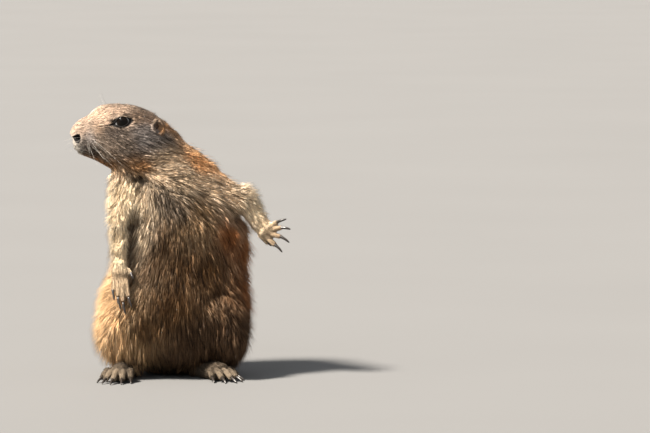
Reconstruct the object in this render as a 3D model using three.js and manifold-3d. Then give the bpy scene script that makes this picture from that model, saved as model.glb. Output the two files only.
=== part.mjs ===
// A black-tailed prairie dog sitting upright, life size, as a still museum model.
//
// Millimetres, +Z up. The chest faces -Y, the animal's own left side is +X, and its
// head is turned to its right, so that the nose points along -X. One arm hangs in
// front of the body, the other is stretched out to the left. Hind feet, rump and
// tail rest on one level.
//
// The flesh is one smooth blend of simple forms. Each body part is a closed surface
// cast outwards from a line inside that blend, then parted from its neighbours.
import * as THREE from 'three';
import { mergeVertices } from 'three/addons/utils/BufferGeometryUtils.js';
import Module from 'manifold-3d';

const wasm = await Module();
wasm.setup();

// Driving dimensions

const GAP = 0.3;              // air between neighbouring parts
const LEFT = 1;
const RIGHT = -1;

const NOSE_X = -75.2;         // the nose tip, from the body's middle
const HEAD_Y = -4;            // middle plane of the turned head
const HEAD_LENGTH = 72;
const HEAD_SQUARENESS = 2.25; // 2 is an ellipse, more is boxier
// Profile of the head behind the nose tip: height of its top and bottom, half its width
const HEAD_STATIONS = [
  { behind: 0, top: 175.6, bottom: 175.0, half: 0.3 },
  { behind: 1.4, top: 179.6, bottom: 170.6, half: 5.2 },
  { behind: 4.6, top: 183.6, bottom: 163.2, half: 8.2 },
  { behind: 9, top: 186.3, bottom: 159.6, half: 10.2 },
  { behind: 14.5, top: 189.2, bottom: 156.4, half: 12.2 },
  { behind: 17.4, top: 192.6, bottom: 155.2, half: 13.6 },
  { behind: 20.6, top: 195.0, bottom: 153.8, half: 15.2 },
  { behind: 26, top: 196.2, bottom: 152.0, half: 17.6 },
  { behind: 36, top: 196.4, bottom: 149.6, half: 20.8 },
  { behind: 48, top: 194.0, bottom: 147.4, half: 22.8 },
  { behind: 58, top: 188.6, bottom: 147.4, half: 22.0 },
  { behind: 67, top: 180.5, bottom: 151.0, half: 18.0 },
  { behind: 72, top: 173.0, bottom: 158.0, half: 10.0 },
];

const EYE_RADIUS = 5.9;
const EYE_X = -37.2;
const EYE_Z = 183.4;
const EYE_HALF_SPACING = 15.7;

const EAR_X = -10.8;
const EAR_Z = 180.6;
const EAR_HALF_SPACING = 19.6;
const EAR_HEIGHT = 13;
const EAR_WIDTH = 9.5;
const EAR_DEPTH = 4.4;
const EAR_THICKNESS = 1.3;
const EAR_TURN = [16, -12, 30];    // degrees: top outwards, top back, front edge outwards
const EAR_HOLLOW_OUT = 0.6;        // how far out its hollow is set, as a share of its depth

const NOSE_PROUD = 0.4;       // how far the bare nose stands off the muzzle
const NOSE_BEHIND = 5.4;      // middle of its form behind the nose tip
const NOSE_Z = 171.9;
const NOSE_RADII = [3.5, 14, 3.1];
const NOSE_SLOPE = -35;

// Bulges on both sides of the head: place, with its distance from the middle plane, and half sizes
const HEAD_BULGES = {
  cheek: { x: -27, out: 14, z: 163, radii: [21, 9.5, 15] },
  whiskerPad: { x: -65, out: 5, z: 165.4, radii: [7.5, 5.6, 5.6] },
  brow: { x: -38, out: 14.4, z: 190.6, radii: [13, 4, 3.2] },
};
const TORSO_FORMS = {
  belly: { centre: [1.5, -1, 50], radii: [51.5, 44, 47] },
  ribCage: { centre: [6, -1, 98], radii: [46.2, 36, 48] },
  rump: { centre: [1, 17, 27], radii: [42, 35, 28] },
  hunchedBack: { centre: [2, 12, 84], radii: [37, 32, 46] },
  shoulders: { centre: [0, 4, 131], radii: [37, 31, 26] },
};
const HAUNCH = { out: 36, y: -12, z: 34, radii: [16, 31, 29], turn: 12 };
const NECK_STEPS = [
  { place: [-3, 1, 138], radius: 32 },
  { place: [-18, -2, 157], radius: 24 },
  { place: [-27, HEAD_Y, 167], radius: 22.5 },
];

// Lines inside the flesh that the surfaces are cast from
const HEAD_SPINE = [[-68.5, HEAD_Y, 172], [-45, HEAD_Y, 173], [-20, HEAD_Y, 171]];
const REAR_HEAD_SPINE = [[-30, HEAD_Y, 176], [-8, HEAD_Y, 166]];
const NECK_SPINE = [[-6, -1, 148], [-17, -3, 163]];
const TRUNK_SPINE = [[1, 6, 26], [1, 0, 60], [4, 0, 100], [2, 1, 134]];

const ARMS = {
  right: {
    side: RIGHT,
    shoulder: [-33.8, -12, 138],
    elbow: [-38.6, -27, 112.2],
    wrist: [-38.2, -30, 85],
    palm: [-37.8, -33, 77],
    shoulderRadius: 11,
    shoulderBlend: 5,
    shoulderReach: 29,
    elbowRadius: 7.2,
    wristRadius: 4.9,
    palmRadii: [6.6, 4.2, 7.4],
    clawBow: [0, -1, 0],
    // each digit runs from its knuckle to the root of its claw, then to the claw's point
    digits: [
      { knuckle: [-32.9, -32, 80], root: [-30.0, -35, 76.4], point: [-28.4, -37, 73.3], radius: 1.5 },
      { knuckle: [-34.6, -33, 77], root: [-31.9, -38.5, 60.4], point: [-29.5, -40.5, 53.6], radius: 1.85 },
      { knuckle: [-37.0, -33.4, 77], root: [-35.7, -40, 57.0], point: [-34.0, -42, 48.8], radius: 1.9 },
      { knuckle: [-39.6, -33.2, 77], root: [-39.4, -39, 60.6], point: [-37.4, -41.4, 52.0], radius: 1.85 },
      { knuckle: [-41.8, -32.6, 77], root: [-43.0, -37, 64.6], point: [-42.0, -39.4, 58.4], radius: 1.7 },
    ],
  },
  left: {
    side: LEFT,
    shoulder: [20, -6, 133],
    elbow: [48.2, -11, 127.5],
    wrist: [65.0, -15, 107],
    palm: [67.4, -17, 105],
    shoulderRadius: 15,
    shoulderBlend: 12,
    shoulderReach: 42,
    elbowRadius: 9.6,
    wristRadius: 5.8,
    palmRadii: [6.4, 4.2, 7.2],
    clawBow: [0.3, -0.8, 0.5],
    digits: [
      { knuckle: [64.0, -16.0, 100.8], root: [67.0, -17, 97.2], point: [69.4, -19, 95.2], radius: 1.5 },
      { knuckle: [66.4, -18, 101.4], root: [72.2, -21, 95.8], point: [77.2, -23.4, 91.2], radius: 1.8 },
      { knuckle: [68.8, -19, 104.0], root: [76.4, -22.4, 101.8], point: [82.2, -24.6, 98.2], radius: 1.9 },
      { knuckle: [69.2, -19, 107.0], root: [77.0, -22.4, 108.4], point: [83.0, -25, 107.6], radius: 1.9 },
      { knuckle: [67.2, -18, 109.0], root: [73.8, -20.6, 112.2], point: [80.0, -23, 114.6], radius: 1.8 },
    ],
  },
};
const KNUCKLE_SWELL = 1.15;    // a digit's radius at its knuckle against its tip
const CLAW_RADIUS = 1.05;
const CLAW_MIDDLE_RADIUS = 0.84;
const CLAW_TIP_RADIUS = 0.4;
const CLAW_BOW = 0.14;         // how far a claw bows out, as a share of its length
const CLAW_BEND = 0.45;        // where along it the bow is deepest

const FEET = {
  right: { side: RIGHT, heel: [-31, -10], heading: 194 },
  left: { side: LEFT, heel: [14.5, -8], heading: 145 },
};
const SOLE_LENGTH = 32;        // heel to the root of the toes
const HEEL_RADIUS = 5.8;
const INSTEP_RADIUS = 7.2;
const TOE_LENGTHS = [9, 13.5, 15, 14, 10];   // from the inner toe to the outer
const TOE_RADIUS = 2.6;
const TOE_FAN = 10;            // degrees between neighbouring toes
const TOE_SPREAD = 3.5;        // distance between the roots of neighbouring toes
const TOE_ARCH = 7.6;          // height of the middle of a toe
const TOE_TIP = 3.0;
const TOE_CLAW = 6.2;
const KNUCKLE_DROP = 1;        // a toe's knuckle below its arch
const TOE_SETBACK = 1.5;       // how far each toe starts behind its inner neighbour
const SOLE_FLAT = 0.8;         // how much of a round sole the floor takes off
const CLAW_CLEARANCE = 0.2;    // air under a claw's point

const TAIL_SPINE = [[1, 44, 13], [3, 66, 8.5], [3, 92, 7.4], [-1, 116, 7]];
const TAIL_RADII = [12, 9.5, 10, 6.5];

// Small tools for points and fields

const point = (xyz) => new THREE.Vector3(...xyz);
const degrees = THREE.MathUtils.degToRad;

// A field gives roughly the distance of a point from a surface, less than 0 inside it.
function ellipsoid(centre, radii, turn = [0, 0, 0]) {
  const middle = point(centre);
  const size = point(radii);
  const untwist = new THREE.Matrix4()
    .makeRotationFromEuler(new THREE.Euler(...turn.map(degrees)))
    .invert();
  const local = new THREE.Vector3();
  return (p) => {
    local.copy(p).sub(middle).applyMatrix4(untwist).divide(size);
    const depth = local.length();
    const steepness = local.divide(size).length();
    return steepness === 0 ? -Math.min(...radii) : (depth * (depth - 1)) / steepness;
  };
}

function taperedLimb(start, end, startRadius, endRadius) {
  const from = point(start);
  const along = point(end).sub(from);
  const lengthSquared = along.lengthSq();
  const offset = new THREE.Vector3();
  return (p) => {
    offset.copy(p).sub(from);
    const share = THREE.MathUtils.clamp(offset.dot(along) / lengthSquared, 0, 1);
    offset.addScaledVector(along, -share);
    return offset.length() - THREE.MathUtils.lerp(startRadius, endRadius, share);
  };
}

function blendTwo(a, b, width) {
  const overlap = Math.max(width - Math.abs(a - b), 0) / width;
  return Math.min(a, b) - (overlap * overlap * width) / 4;
}

const blend = (width, ...fields) => (p) =>
  fields.map((field) => field(p)).reduce((a, b) => blendTwo(a, b, width));

// Joins a limb to the body softly at its root and sharply away from it
function blendAt(place, reach, width, body, limb) {
  const root = point(place);
  return (p) => {
    const near = 1 - THREE.MathUtils.smoothstep(p.distanceTo(root), reach * 0.5, reach);
    return blendTwo(body(p), limb(p), Math.max(width * near, 0.01));
  };
}

const grown = (field, distance) => (p) => field(p) - distance;

// Forms of the body

function headLoft() {
  const keys = HEAD_STATIONS.map((station) => Math.sqrt(station.behind));
  const values = HEAD_STATIONS.flatMap(({ top, bottom, half }) => [top, bottom, half]);
  const curve = new THREE.CubicInterpolant(keys, values, 3, new Float64Array(3));
  return (p) => {
    const behind = p.x - NOSE_X;
    const inside = THREE.MathUtils.clamp(behind, 0.01, HEAD_LENGTH - 0.01);
    const [top, bottom, half] = curve.evaluate(Math.sqrt(inside));
    const halfHeight = (top - bottom) / 2;
    const across = Math.abs(p.y - HEAD_Y) / half;
    const upright = Math.abs(p.z - (top + bottom) / 2) / halfHeight;
    const n = HEAD_SQUARENESS;
    const ring = (across ** n + upright ** n) ** (1 / n);
    const distance = (ring - 1) * Math.min(half, halfHeight);
    return Math.max(distance, -behind, behind - HEAD_LENGTH);
  };
}

function bothSides(make) {
  return [LEFT, RIGHT].map(make);
}

const skull = blend(
  4,
  headLoft(),
  ...Object.values(HEAD_BULGES).flatMap(({ x, out, z, radii }) =>
    bothSides((side) => ellipsoid([x, HEAD_Y + side * out, z], radii))),
);

const torso = blend(
  14,
  ...Object.values(TORSO_FORMS).map(({ centre, radii }) => ellipsoid(centre, radii)),
);

const haunches = blend(
  10,
  ...bothSides((side) => ellipsoid(
    [side * HAUNCH.out, HAUNCH.y, HAUNCH.z],
    HAUNCH.radii,
    [0, 0, side * HAUNCH.turn],
  )),
);

const neck = blend(
  8,
  ...NECK_STEPS.slice(1).map((upper, i) => {
    const lower = NECK_STEPS[i];
    return taperedLimb(lower.place, upper.place, lower.radius, upper.radius);
  }),
);

function armField(arm) {
  const { shoulder, elbow, wrist, palm } = arm;
  const { shoulderRadius, elbowRadius, wristRadius, palmRadii } = arm;
  return blend(
    4,
    taperedLimb(shoulder, elbow, shoulderRadius, elbowRadius),
    taperedLimb(elbow, wrist, elbowRadius, wristRadius),
    ellipsoid(palm, palmRadii),
  );
}

// The arms join the trunk softly, and the jaw only touches what lies under it
const trunkField = blend(9, torso, haunches);
const armedTrunk = Object.values(ARMS).reduce(
  (body, arm) => blendAt(arm.shoulder, arm.shoulderReach, arm.shoulderBlend, body, armField(arm)),
  trunkField,
);
const fleshField = blend(3, blend(10, armedTrunk, neck), blend(10, skull, neck));

function tailField() {
  const pieces = TAIL_SPINE.slice(1).map((end, i) =>
    taperedLimb(TAIL_SPINE[i], end, TAIL_RADII[i], TAIL_RADII[i + 1]));
  return blend(3, ...pieces);
}

// Surfaces and solids

// Merges shared corners, once only positions are left
function welded(geometry) {
  geometry.deleteAttribute('normal');
  geometry.deleteAttribute('uv');
  return mergeVertices(geometry, 1e-4);
}

function solidFrom(geometry) {
  const merged = welded(geometry);
  return new wasm.Manifold(new wasm.Mesh({
    numProp: 3,
    vertProperties: new Float32Array(merged.attributes.position.array),
    triVerts: new Uint32Array(merged.index.array),
  }));
}

const MARCH_STEP = 0.6;
const HALVINGS = 18;

// Distance from a place inside the field, along a ray, to its surface
function distanceToSurface(field, start, ray, reach) {
  const at = new THREE.Vector3();
  const value = (distance) => field(at.copy(start).addScaledVector(ray, distance));
  let near = 0;
  let far = MARCH_STEP;
  while (far < reach && value(far) < 0) {
    near = far;
    far += MARCH_STEP;
  }
  if (far >= reach) return reach;
  for (let i = 0; i < HALVINGS; i += 1) {
    const middle = (near + far) / 2;
    if (value(middle) < 0) near = middle;
    else far = middle;
  }
  return near;
}

const END_SHARE = 0.42;   // share of a cast surface's rings that fan out round its two ends

// A closed surface cast outwards from a line inside a field: the rings of a sphere are
// spread along the line, and the rings near its poles fan out round the line's ends.
function cast(field, line, { around, along, reach = 80, facing = [0, 0, 1] }) {
  const spine = new THREE.CatmullRomCurve3(line.map(point));
  const sphere = welded(new THREE.SphereGeometry(1, around, along));
  const positions = sphere.attributes.position;
  const reference = point(facing);
  const unit = new THREE.Vector3();
  for (let i = 0; i < positions.count; i += 1) {
    unit.fromBufferAttribute(positions, i);
    const pole = Math.asin(THREE.MathUtils.clamp(unit.y, -1, 1)) / (Math.PI / 2);
    const body = 1 - END_SHARE;
    const share = THREE.MathUtils.clamp(0.5 + (0.5 * pole) / body, 0, 1);
    const lift = Math.max(Math.abs(pole) - body, 0) / END_SHARE * (Math.PI / 2);
    const origin = spine.getPointAt(share);
    const axis = spine.getTangentAt(share);
    const first = reference.clone().addScaledVector(axis, -reference.dot(axis)).normalize();
    const second = first.clone().cross(axis);
    const turn = Math.atan2(unit.z, unit.x);
    const ray = first.multiplyScalar(Math.cos(turn)).addScaledVector(second, Math.sin(turn));
    ray.multiplyScalar(Math.cos(lift)).addScaledVector(axis, Math.sign(pole) * Math.sin(lift));
    origin.addScaledVector(ray, distanceToSurface(field, origin, ray, reach));
    positions.setXYZ(i, origin.x, origin.y, origin.z);
  }
  return solidFrom(sphere);
}

// A block whose inner face lies on a seam, turned so that it lies wholly beyond the seam
function beyondSeam({ place, outward, size }, margin = 0) {
  const box = new THREE.BoxGeometry(...size.map((edge) => edge + 2 * margin));
  const away = point(outward).normalize();
  const turn = new THREE.Quaternion().setFromUnitVectors(new THREE.Vector3(1, 0, 0), away);
  box.applyQuaternion(turn);
  const middle = point(place).addScaledVector(away, size[0] / 2);
  box.translate(middle.x, middle.y, middle.z);
  return solidFrom(box);
}

// Seams between the parts: a point on each, the direction that leads away from the
// trunk, and how far the part beyond it reaches away, sideways and up
const SEAMS = {
  neck: { place: [-5, 0, 146], outward: [-0.07, 0, 1], size: [90, 200, 200] },
  head: { place: [-20.3, HEAD_Y, 161.7], outward: [-0.51, 0, 0.86], size: [90, 120, 120] },
  tail: { place: [1, 46, 14], outward: [0, 1, -0.15], size: [110, 44, 36] },
  thighLeft: { place: [37, -12, 34], outward: [1, -0.55, -0.1], size: [50, 90, 66] },
  thighRight: { place: [-37, -12, 34], outward: [-1, -0.55, -0.1], size: [50, 90, 66] },
  upperArmLeft: { place: [33, -8, 138], outward: [1, 0, -0.12], size: [50, 60, 38] },
  upperArmRight: { place: [-27, -12, 135], outward: [-1, -0.45, 0], size: [40, 60, 42] },
};
const LOWER_ARM_SIZE = [60, 36, 36];
const LOWER_ARM_ROOM = [60, 30, 21];   // the room that the trunk leaves it
const ALL_BEYOND = [160, 160, 160];
const beyond = (name, margin = 0) => beyondSeam(SEAMS[name], margin);
const allBeyond = (seam, margin = 0) => beyondSeam({ ...seam, size: ALL_BEYOND }, margin);

const FLOOR_SEAM = { place: [0, 0, 0], outward: [0, 0, -1], size: [50, 600, 600] };
const onFloor = (solid) => solid.subtract(beyondSeam(FLOOR_SEAM));

// The parts

const STYLES = {
  coat: { color: 0xb98a5c, roughness: 0.9, metalness: 0 },
  paleCoat: { color: 0xd9bf94, roughness: 0.9, metalness: 0 },
  tailCoat: { color: 0x8a6240, roughness: 0.9, metalness: 0 },
  eye: { color: 0x0b0807, roughness: 0.08, metalness: 0 },
  nose: { color: 0x1d1614, roughness: 0.5, metalness: 0 },
  claw: { color: 0x1a1512, roughness: 0.3, metalness: 0 },
};

const animal = new THREE.Group();

function add(name, solid, style) {
  const { vertProperties, triVerts } = solid.getMesh();
  const geometry = new THREE.BufferGeometry();
  geometry.setAttribute('position', new THREE.BufferAttribute(vertProperties, 3));
  geometry.setIndex(new THREE.BufferAttribute(triVerts, 1));
  const mesh = new THREE.Mesh(geometry, new THREE.MeshStandardMaterial(STYLES[style]));
  mesh.name = name;
  animal.add(mesh);
}

const cutAll = (solid, ...cutters) => cutters.reduce((rest, cutter) => rest.subtract(cutter), solid);

// Head

function eyeball(side, margin = 0) {
  const ball = new THREE.SphereGeometry(EYE_RADIUS + margin, 12, 8);
  ball.rotateX(Math.PI / 2);
  ball.translate(EYE_X, HEAD_Y - side * EYE_HALF_SPACING, EYE_Z);
  return solidFrom(ball);
}

const headSurface = (margin = 0) => cast(
  grown(fleshField, margin),
  HEAD_SPINE,
  { around: 24, along: 20, reach: 60 },
);

// The bare skin round the nostrils, a little proud of the muzzle
function noseForm(margin = 0) {
  const form = new THREE.SphereGeometry(1, 14, 8);
  const [length, width, height] = NOSE_RADII;
  form.scale(length + margin, width, height + margin);
  form.rotateY(degrees(NOSE_SLOPE));
  form.translate(NOSE_X + NOSE_BEHIND, HEAD_Y, NOSE_Z);
  return solidFrom(form);
}

// A low round ear stands off the side of the head with its hollow turned outwards
function earPlace(side) {
  const [outwards, back, forwards] = EAR_TURN.map(degrees);
  const turn = new THREE.Euler(side * outwards, back, side * forwards);
  return new THREE.Matrix4()
    .makeRotationFromEuler(turn)
    .setPosition(EAR_X, HEAD_Y - side * EAR_HALF_SPACING, EAR_Z);
}

function earLeaf(side) {
  const leaf = new THREE.SphereGeometry(1, 12, 8);
  leaf.scale(EAR_WIDTH / 2, EAR_DEPTH, EAR_HEIGHT / 2);
  leaf.applyMatrix4(earPlace(side));
  return solidFrom(leaf);
}

function earHollow(side) {
  const hollow = new THREE.SphereGeometry(1, 8, 6);
  hollow.scale(EAR_WIDTH / 2 - EAR_THICKNESS, EAR_DEPTH, EAR_HEIGHT / 2 - EAR_THICKNESS);
  hollow.translate(-EAR_THICKNESS, -side * EAR_DEPTH * EAR_HOLLOW_OUT, 0);
  hollow.applyMatrix4(earPlace(side));
  return solidFrom(hollow);
}

function addHead() {
  const whole = headSurface().intersect(allBeyond(SEAMS.head));
  const sockets = bothSides((side) => eyeball(side, GAP));
  add('head', cutAll(whole, noseForm(GAP), ...sockets), 'coat');
  add('nose', noseForm().intersect(headSurface(NOSE_PROUD)), 'nose');
  const skullAndNeck = cast(
    grown(fleshField, GAP),
    REAR_HEAD_SPINE,
    { around: 24, along: 20, reach: 60 },
  );
  for (const [name, side] of [['left', LEFT], ['right', RIGHT]]) {
    add(`eye_${name}`, eyeball(side), 'eye');
    add(`ear_${name}`, cutAll(earLeaf(side), earHollow(side), skullAndNeck), 'coat');
  }
}

// Neck, trunk, thighs and tail

const neckSurface = () => cast(
  fleshField,
  NECK_SPINE,
  { around: 26, along: 14, reach: 50, facing: [0, 1, 0] },
);

const trunkSurface = (margin = 0) => cast(
  grown(fleshField, margin),
  TRUNK_SPINE,
  { around: 28, along: 22, reach: 60, facing: [0, 1, 0] },
);

const thighSurface = (side, margin = 0) => cast(
  grown(fleshField, margin),
  [[side * 34, 10, 32], [side * 38, -24, 33]],
  { around: 18, along: 14, reach: 46 },
);

const tailSurface = () => cast(
  blend(6, tailField(), fleshField),
  TAIL_SPINE,
  { around: 14, along: 16, reach: 40 },
);

function addBody() {
  const neckPart = neckSurface().intersect(beyond('neck')).subtract(beyond('head', GAP));
  add('neck', neckPart, 'coat');
  const neighbours = Object.keys(SEAMS).map((name) => beyond(name, GAP));
  const { elbow, wrist } = ARMS.left;
  const forearmWay = direction(elbow, wrist).toArray();
  const leftForearm = beyondSeam({ place: elbow, outward: forearmWay, size: LOWER_ARM_ROOM }, GAP);
  add('trunk', onFloor(cutAll(trunkSurface(), ...neighbours, leftForearm)), 'coat');
  add('thigh_left', onFloor(thighSurface(LEFT).intersect(beyond('thighLeft'))), 'coat');
  add('thigh_right', onFloor(thighSurface(RIGHT).intersect(beyond('thighRight'))), 'coat');
  add('tail', onFloor(tailSurface().intersect(beyond('tail'))), 'tailCoat');
}

// Arms, hands and feet

const seamAt = (place, outward) => ({ place, outward });
const direction = (from, to) => point(to).sub(point(from)).normalize();
const clawSeam = ({ root, point: tip }) => seamAt(root, direction(root, tip).toArray());

// A claw curves from the flat end of its digit to its point
function claw({ root, point: tip }, bow) {
  const length = point(root).distanceTo(point(tip));
  const bowed = point(bow).multiplyScalar(length * CLAW_BOW);
  const middle = point(root).lerp(point(tip), CLAW_BEND).add(bowed).toArray();
  const hidden = point(root).lerp(point(tip), -CLAW_RADIUS / length).toArray();
  const field = blend(
    0.5,
    taperedLimb(hidden, middle, CLAW_RADIUS, CLAW_MIDDLE_RADIUS),
    taperedLimb(middle, tip, CLAW_MIDDLE_RADIUS, CLAW_TIP_RADIUS),
  );
  const spine = [hidden, middle, tip];
  const form = cast(field, spine, { around: 5, along: 5, reach: 5, facing: [0.3, 0.2, 1] });
  return form.intersect(allBeyond(clawSeam({ root, point: tip }), -GAP));
}

// The seam at a bent elbow halves the angle between the two bones
function elbowSeamOf({ shoulder, elbow, wrist }) {
  const outward = direction(shoulder, elbow).add(direction(elbow, wrist));
  return { place: elbow, outward: outward.toArray(), size: LOWER_ARM_SIZE };
}

function addArm(name, arm) {
  const field = armField(arm);
  const withBody = blendAt(arm.shoulder, arm.shoulderReach, arm.shoulderBlend, trunkField, field);
  const lower = direction(arm.elbow, arm.wrist);
  const elbowSeam = elbowSeamOf(arm);
  const shoulderSeam = SEAMS[arm.side === LEFT ? 'upperArmLeft' : 'upperArmRight'];
  const wristSeam = seamAt(arm.wrist, lower.toArray());
  const upperArm = cast(withBody, [arm.shoulder, arm.elbow], { around: 16, along: 10, reach: 30 })
    .intersect(beyondSeam(shoulderSeam))
    .subtract(beyondSeam(elbowSeam, GAP));
  add(`upper_arm_${name}`, cutAll(upperArm, beyond('neck', GAP), beyond('head', GAP)), 'coat');
  const forearm = cast(field, [arm.elbow, arm.wrist], { around: 12, along: 9, reach: 16 })
    .intersect(beyondSeam(elbowSeam));
  add(`forearm_${name}`, forearm.subtract(allBeyond(wristSeam, GAP)), 'paleCoat');
  const palm = cast(field, [arm.wrist, arm.palm], { around: 12, along: 7, reach: 10 });
  const fingers = arm.digits.map((digit) => cast(
    taperedLimb(digit.knuckle, digit.root, digit.radius * KNUCKLE_SWELL, digit.radius),
    [digit.knuckle, digit.root],
    { around: 6, along: 6, reach: 4 },
  ).subtract(allBeyond(clawSeam(digit))));
  const hand = fingers.reduce((joined, finger) => joined.add(finger), palm);
  add(`hand_${name}`, hand.intersect(allBeyond(wristSeam)), 'paleCoat');
  arm.digits.forEach((digit, i) =>
    add(`claw_hand_${name}_${i + 1}`, claw(digit, arm.clawBow), 'claw'));
}

// Five toes fan out from the front of the foot, each arched over its middle
function toesOf({ side, heel, heading }) {
  const forward = (angle) => point([Math.sin(degrees(angle)), Math.cos(degrees(angle)), 0]);
  const ahead = forward(heading);
  const outward = forward(heading - side * 90);
  const ball = point([...heel, 0]).addScaledVector(ahead, SOLE_LENGTH);
  return TOE_LENGTHS.map((length, i) => {
    const step = i - (TOE_LENGTHS.length - 1) / 2;
    const along = forward(heading - side * step * TOE_FAN);
    const root = ball.clone().addScaledVector(outward, step * TOE_SPREAD);
    root.addScaledVector(ahead, -Math.abs(step) * TOE_SETBACK);
    const at = (distance, height) => root.clone().addScaledVector(along, distance).setZ(height).toArray();
    return {
      knuckle: at(0, TOE_ARCH - KNUCKLE_DROP),
      arch: at(length * 0.5, TOE_ARCH),
      root: at(length, TOE_TIP),
      point: at(length + TOE_CLAW, CLAW_TIP_RADIUS + CLAW_CLEARANCE),
    };
  });
}

function addFoot(name, foot) {
  const toes = toesOf(foot);
  const heel = [...foot.heel, HEEL_RADIUS - SOLE_FLAT];
  const ahead = point([Math.sin(degrees(foot.heading)), Math.cos(degrees(foot.heading)), 0]);
  const ball = point(heel).addScaledVector(ahead, SOLE_LENGTH).setZ(INSTEP_RADIUS - SOLE_FLAT).toArray();
  const soleField = taperedLimb(heel, ball, HEEL_RADIUS, INSTEP_RADIUS);
  const sole = cast(soleField, [heel, ball], { around: 12, along: 8, reach: 12 });
  const digits = toes.map((toe) => cast(
    blend(
      1,
      taperedLimb(toe.knuckle, toe.arch, TOE_RADIUS, TOE_RADIUS),
      taperedLimb(toe.arch, toe.root, TOE_RADIUS, TOE_RADIUS * 0.95),
    ),
    [toe.knuckle, toe.arch, toe.root],
    { around: 6, along: 7, reach: 4 },
  ).subtract(allBeyond(clawSeam(toe))));
  const whole = digits.reduce((joined, digit) => joined.add(digit), sole);
  const rear = seamAt(heel, ahead.toArray());
  const visible = whole.intersect(allBeyond(rear));
  const cleared = cutAll(visible, trunkSurface(GAP), thighSurface(foot.side, GAP));
  add(`foot_${name}`, onFloor(cleared), 'paleCoat');
  const up = [0, 0, 1];
  toes.forEach((toe, i) => add(`claw_foot_${name}_${i + 1}`, onFloor(claw(toe, up)), 'claw'));
}

addHead();
addBody();
for (const [name, arm] of Object.entries(ARMS)) addArm(name, arm);
for (const [name, foot] of Object.entries(FEET)) addFoot(name, foot);

// The origin is the middle of the floor that the animal covers
const bounds = new THREE.Box3().setFromObject(animal);
const middle = bounds.getCenter(new THREE.Vector3());
animal.position.set(-middle.x, -middle.y, -bounds.min.z);
const model = new THREE.Group();
model.add(animal);

export default model;
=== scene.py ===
"""A black-tailed prairie dog sitting upright, life size, in warm light from one side.

The body is one skin inside the solids of the flesh, covered with tapered locks of fur
that follow the lie of the coat. Places are in the body's own millimetres, with X to
the picture's right, Y away from the camera and Z up from the floor.
"""

import math
from collections import namedtuple

import bmesh
import bpy
import numpy as np
from mathutils import Matrix, Vector
from mathutils.bvhtree import BVHTree
from mathutils.kdtree import KDTree


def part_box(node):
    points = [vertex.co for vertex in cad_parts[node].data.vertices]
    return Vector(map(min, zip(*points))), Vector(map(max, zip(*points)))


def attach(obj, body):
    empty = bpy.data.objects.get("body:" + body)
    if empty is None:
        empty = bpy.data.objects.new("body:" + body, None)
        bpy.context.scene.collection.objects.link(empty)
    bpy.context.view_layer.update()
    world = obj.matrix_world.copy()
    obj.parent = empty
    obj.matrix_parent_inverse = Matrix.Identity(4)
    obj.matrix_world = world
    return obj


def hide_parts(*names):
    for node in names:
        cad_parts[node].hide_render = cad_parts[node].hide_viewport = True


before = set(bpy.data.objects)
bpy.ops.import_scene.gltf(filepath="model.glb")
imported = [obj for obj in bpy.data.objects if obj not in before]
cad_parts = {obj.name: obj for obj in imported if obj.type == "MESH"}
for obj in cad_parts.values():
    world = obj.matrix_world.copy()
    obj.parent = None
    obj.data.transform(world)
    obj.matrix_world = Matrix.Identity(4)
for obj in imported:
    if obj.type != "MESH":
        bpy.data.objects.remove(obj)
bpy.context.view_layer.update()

# Measures of the body

MM = 0.001
HEAD_Y = -4.0                       # middle plane of the turned head
EYE_OUT = 15.7                      # the eyeball's middle from the head's middle plane
SOCKET_X = -37.2                    # middle of the socket
SOCKET_Z = 183.4
EYE_X = -36.5                       # the eyeball sits a little high and back in it
EYE_Z = 184.2
NOSE_X = -75.2
NEAR = -1                           # the head's side that faces the camera
FAR = 1

low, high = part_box("eye_left")
EYE_RADIUS = (high.z - low.z) / 2 / MM
socket = np.array((SOCKET_X, HEAD_Y + NEAR * EYE_OUT, SOCKET_Z))
ORIGIN = np.array((low + high) / 2) - socket * MM

HANGING_ARM = ["upper_arm_right", "forearm_right"]
ARMS = ["upper_arm_left", "forearm_left"] + HANGING_ARM
PAWS = ["hand_left", "hand_right", "foot_left", "foot_right"]
EARS = ["ear_left", "ear_right"]
TORSO = ["neck", "trunk", "thigh_left", "thigh_right"]
HEAD = ["head", "nose"]
FLESH = HEAD + EARS + TORSO + ["tail"] + ARMS + PAWS
EYES = ["eye_left", "eye_right"]

VOXEL = 0.6                         # grain of the skin
SEAM_REACH = 0.5                    # flesh this close to its neighbour lies on a seam
SEAM_SWELL = 0.45                   # how far it swells to close the seam
FAR_EAR_LOWER = (1.5, 0.0, -4.0)    # the head leans a little, which hides the far ear
PAW_SLIMMING = 0.15                 # depth of the short coat on hands and feet
SKIN_TRIANGLES = 170000


def metres(points):
    return np.asarray(points) * MM + ORIGIN


def body_mm(points):
    return (np.asarray(points) - ORIGIN) / MM


def fade(distance, near, far):
    """1 up to near, 0 from far on, smooth between."""
    share = np.clip((far - distance) / (far - near), 0, 1)
    return share * share * (3 - 2 * share)


def unit(vectors):
    return vectors / np.maximum(np.linalg.norm(vectors, axis=-1, keepdims=True), 1e-9)


def mix(a, b, share):
    return a + (b - a) * share


# The skin

def closed_copy(node):
    made = bmesh.new()
    made.from_mesh(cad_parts[node].data)
    bmesh.ops.remove_doubles(made, verts=made.verts, dist=1e-6)
    made.normal_update()
    return made


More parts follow.
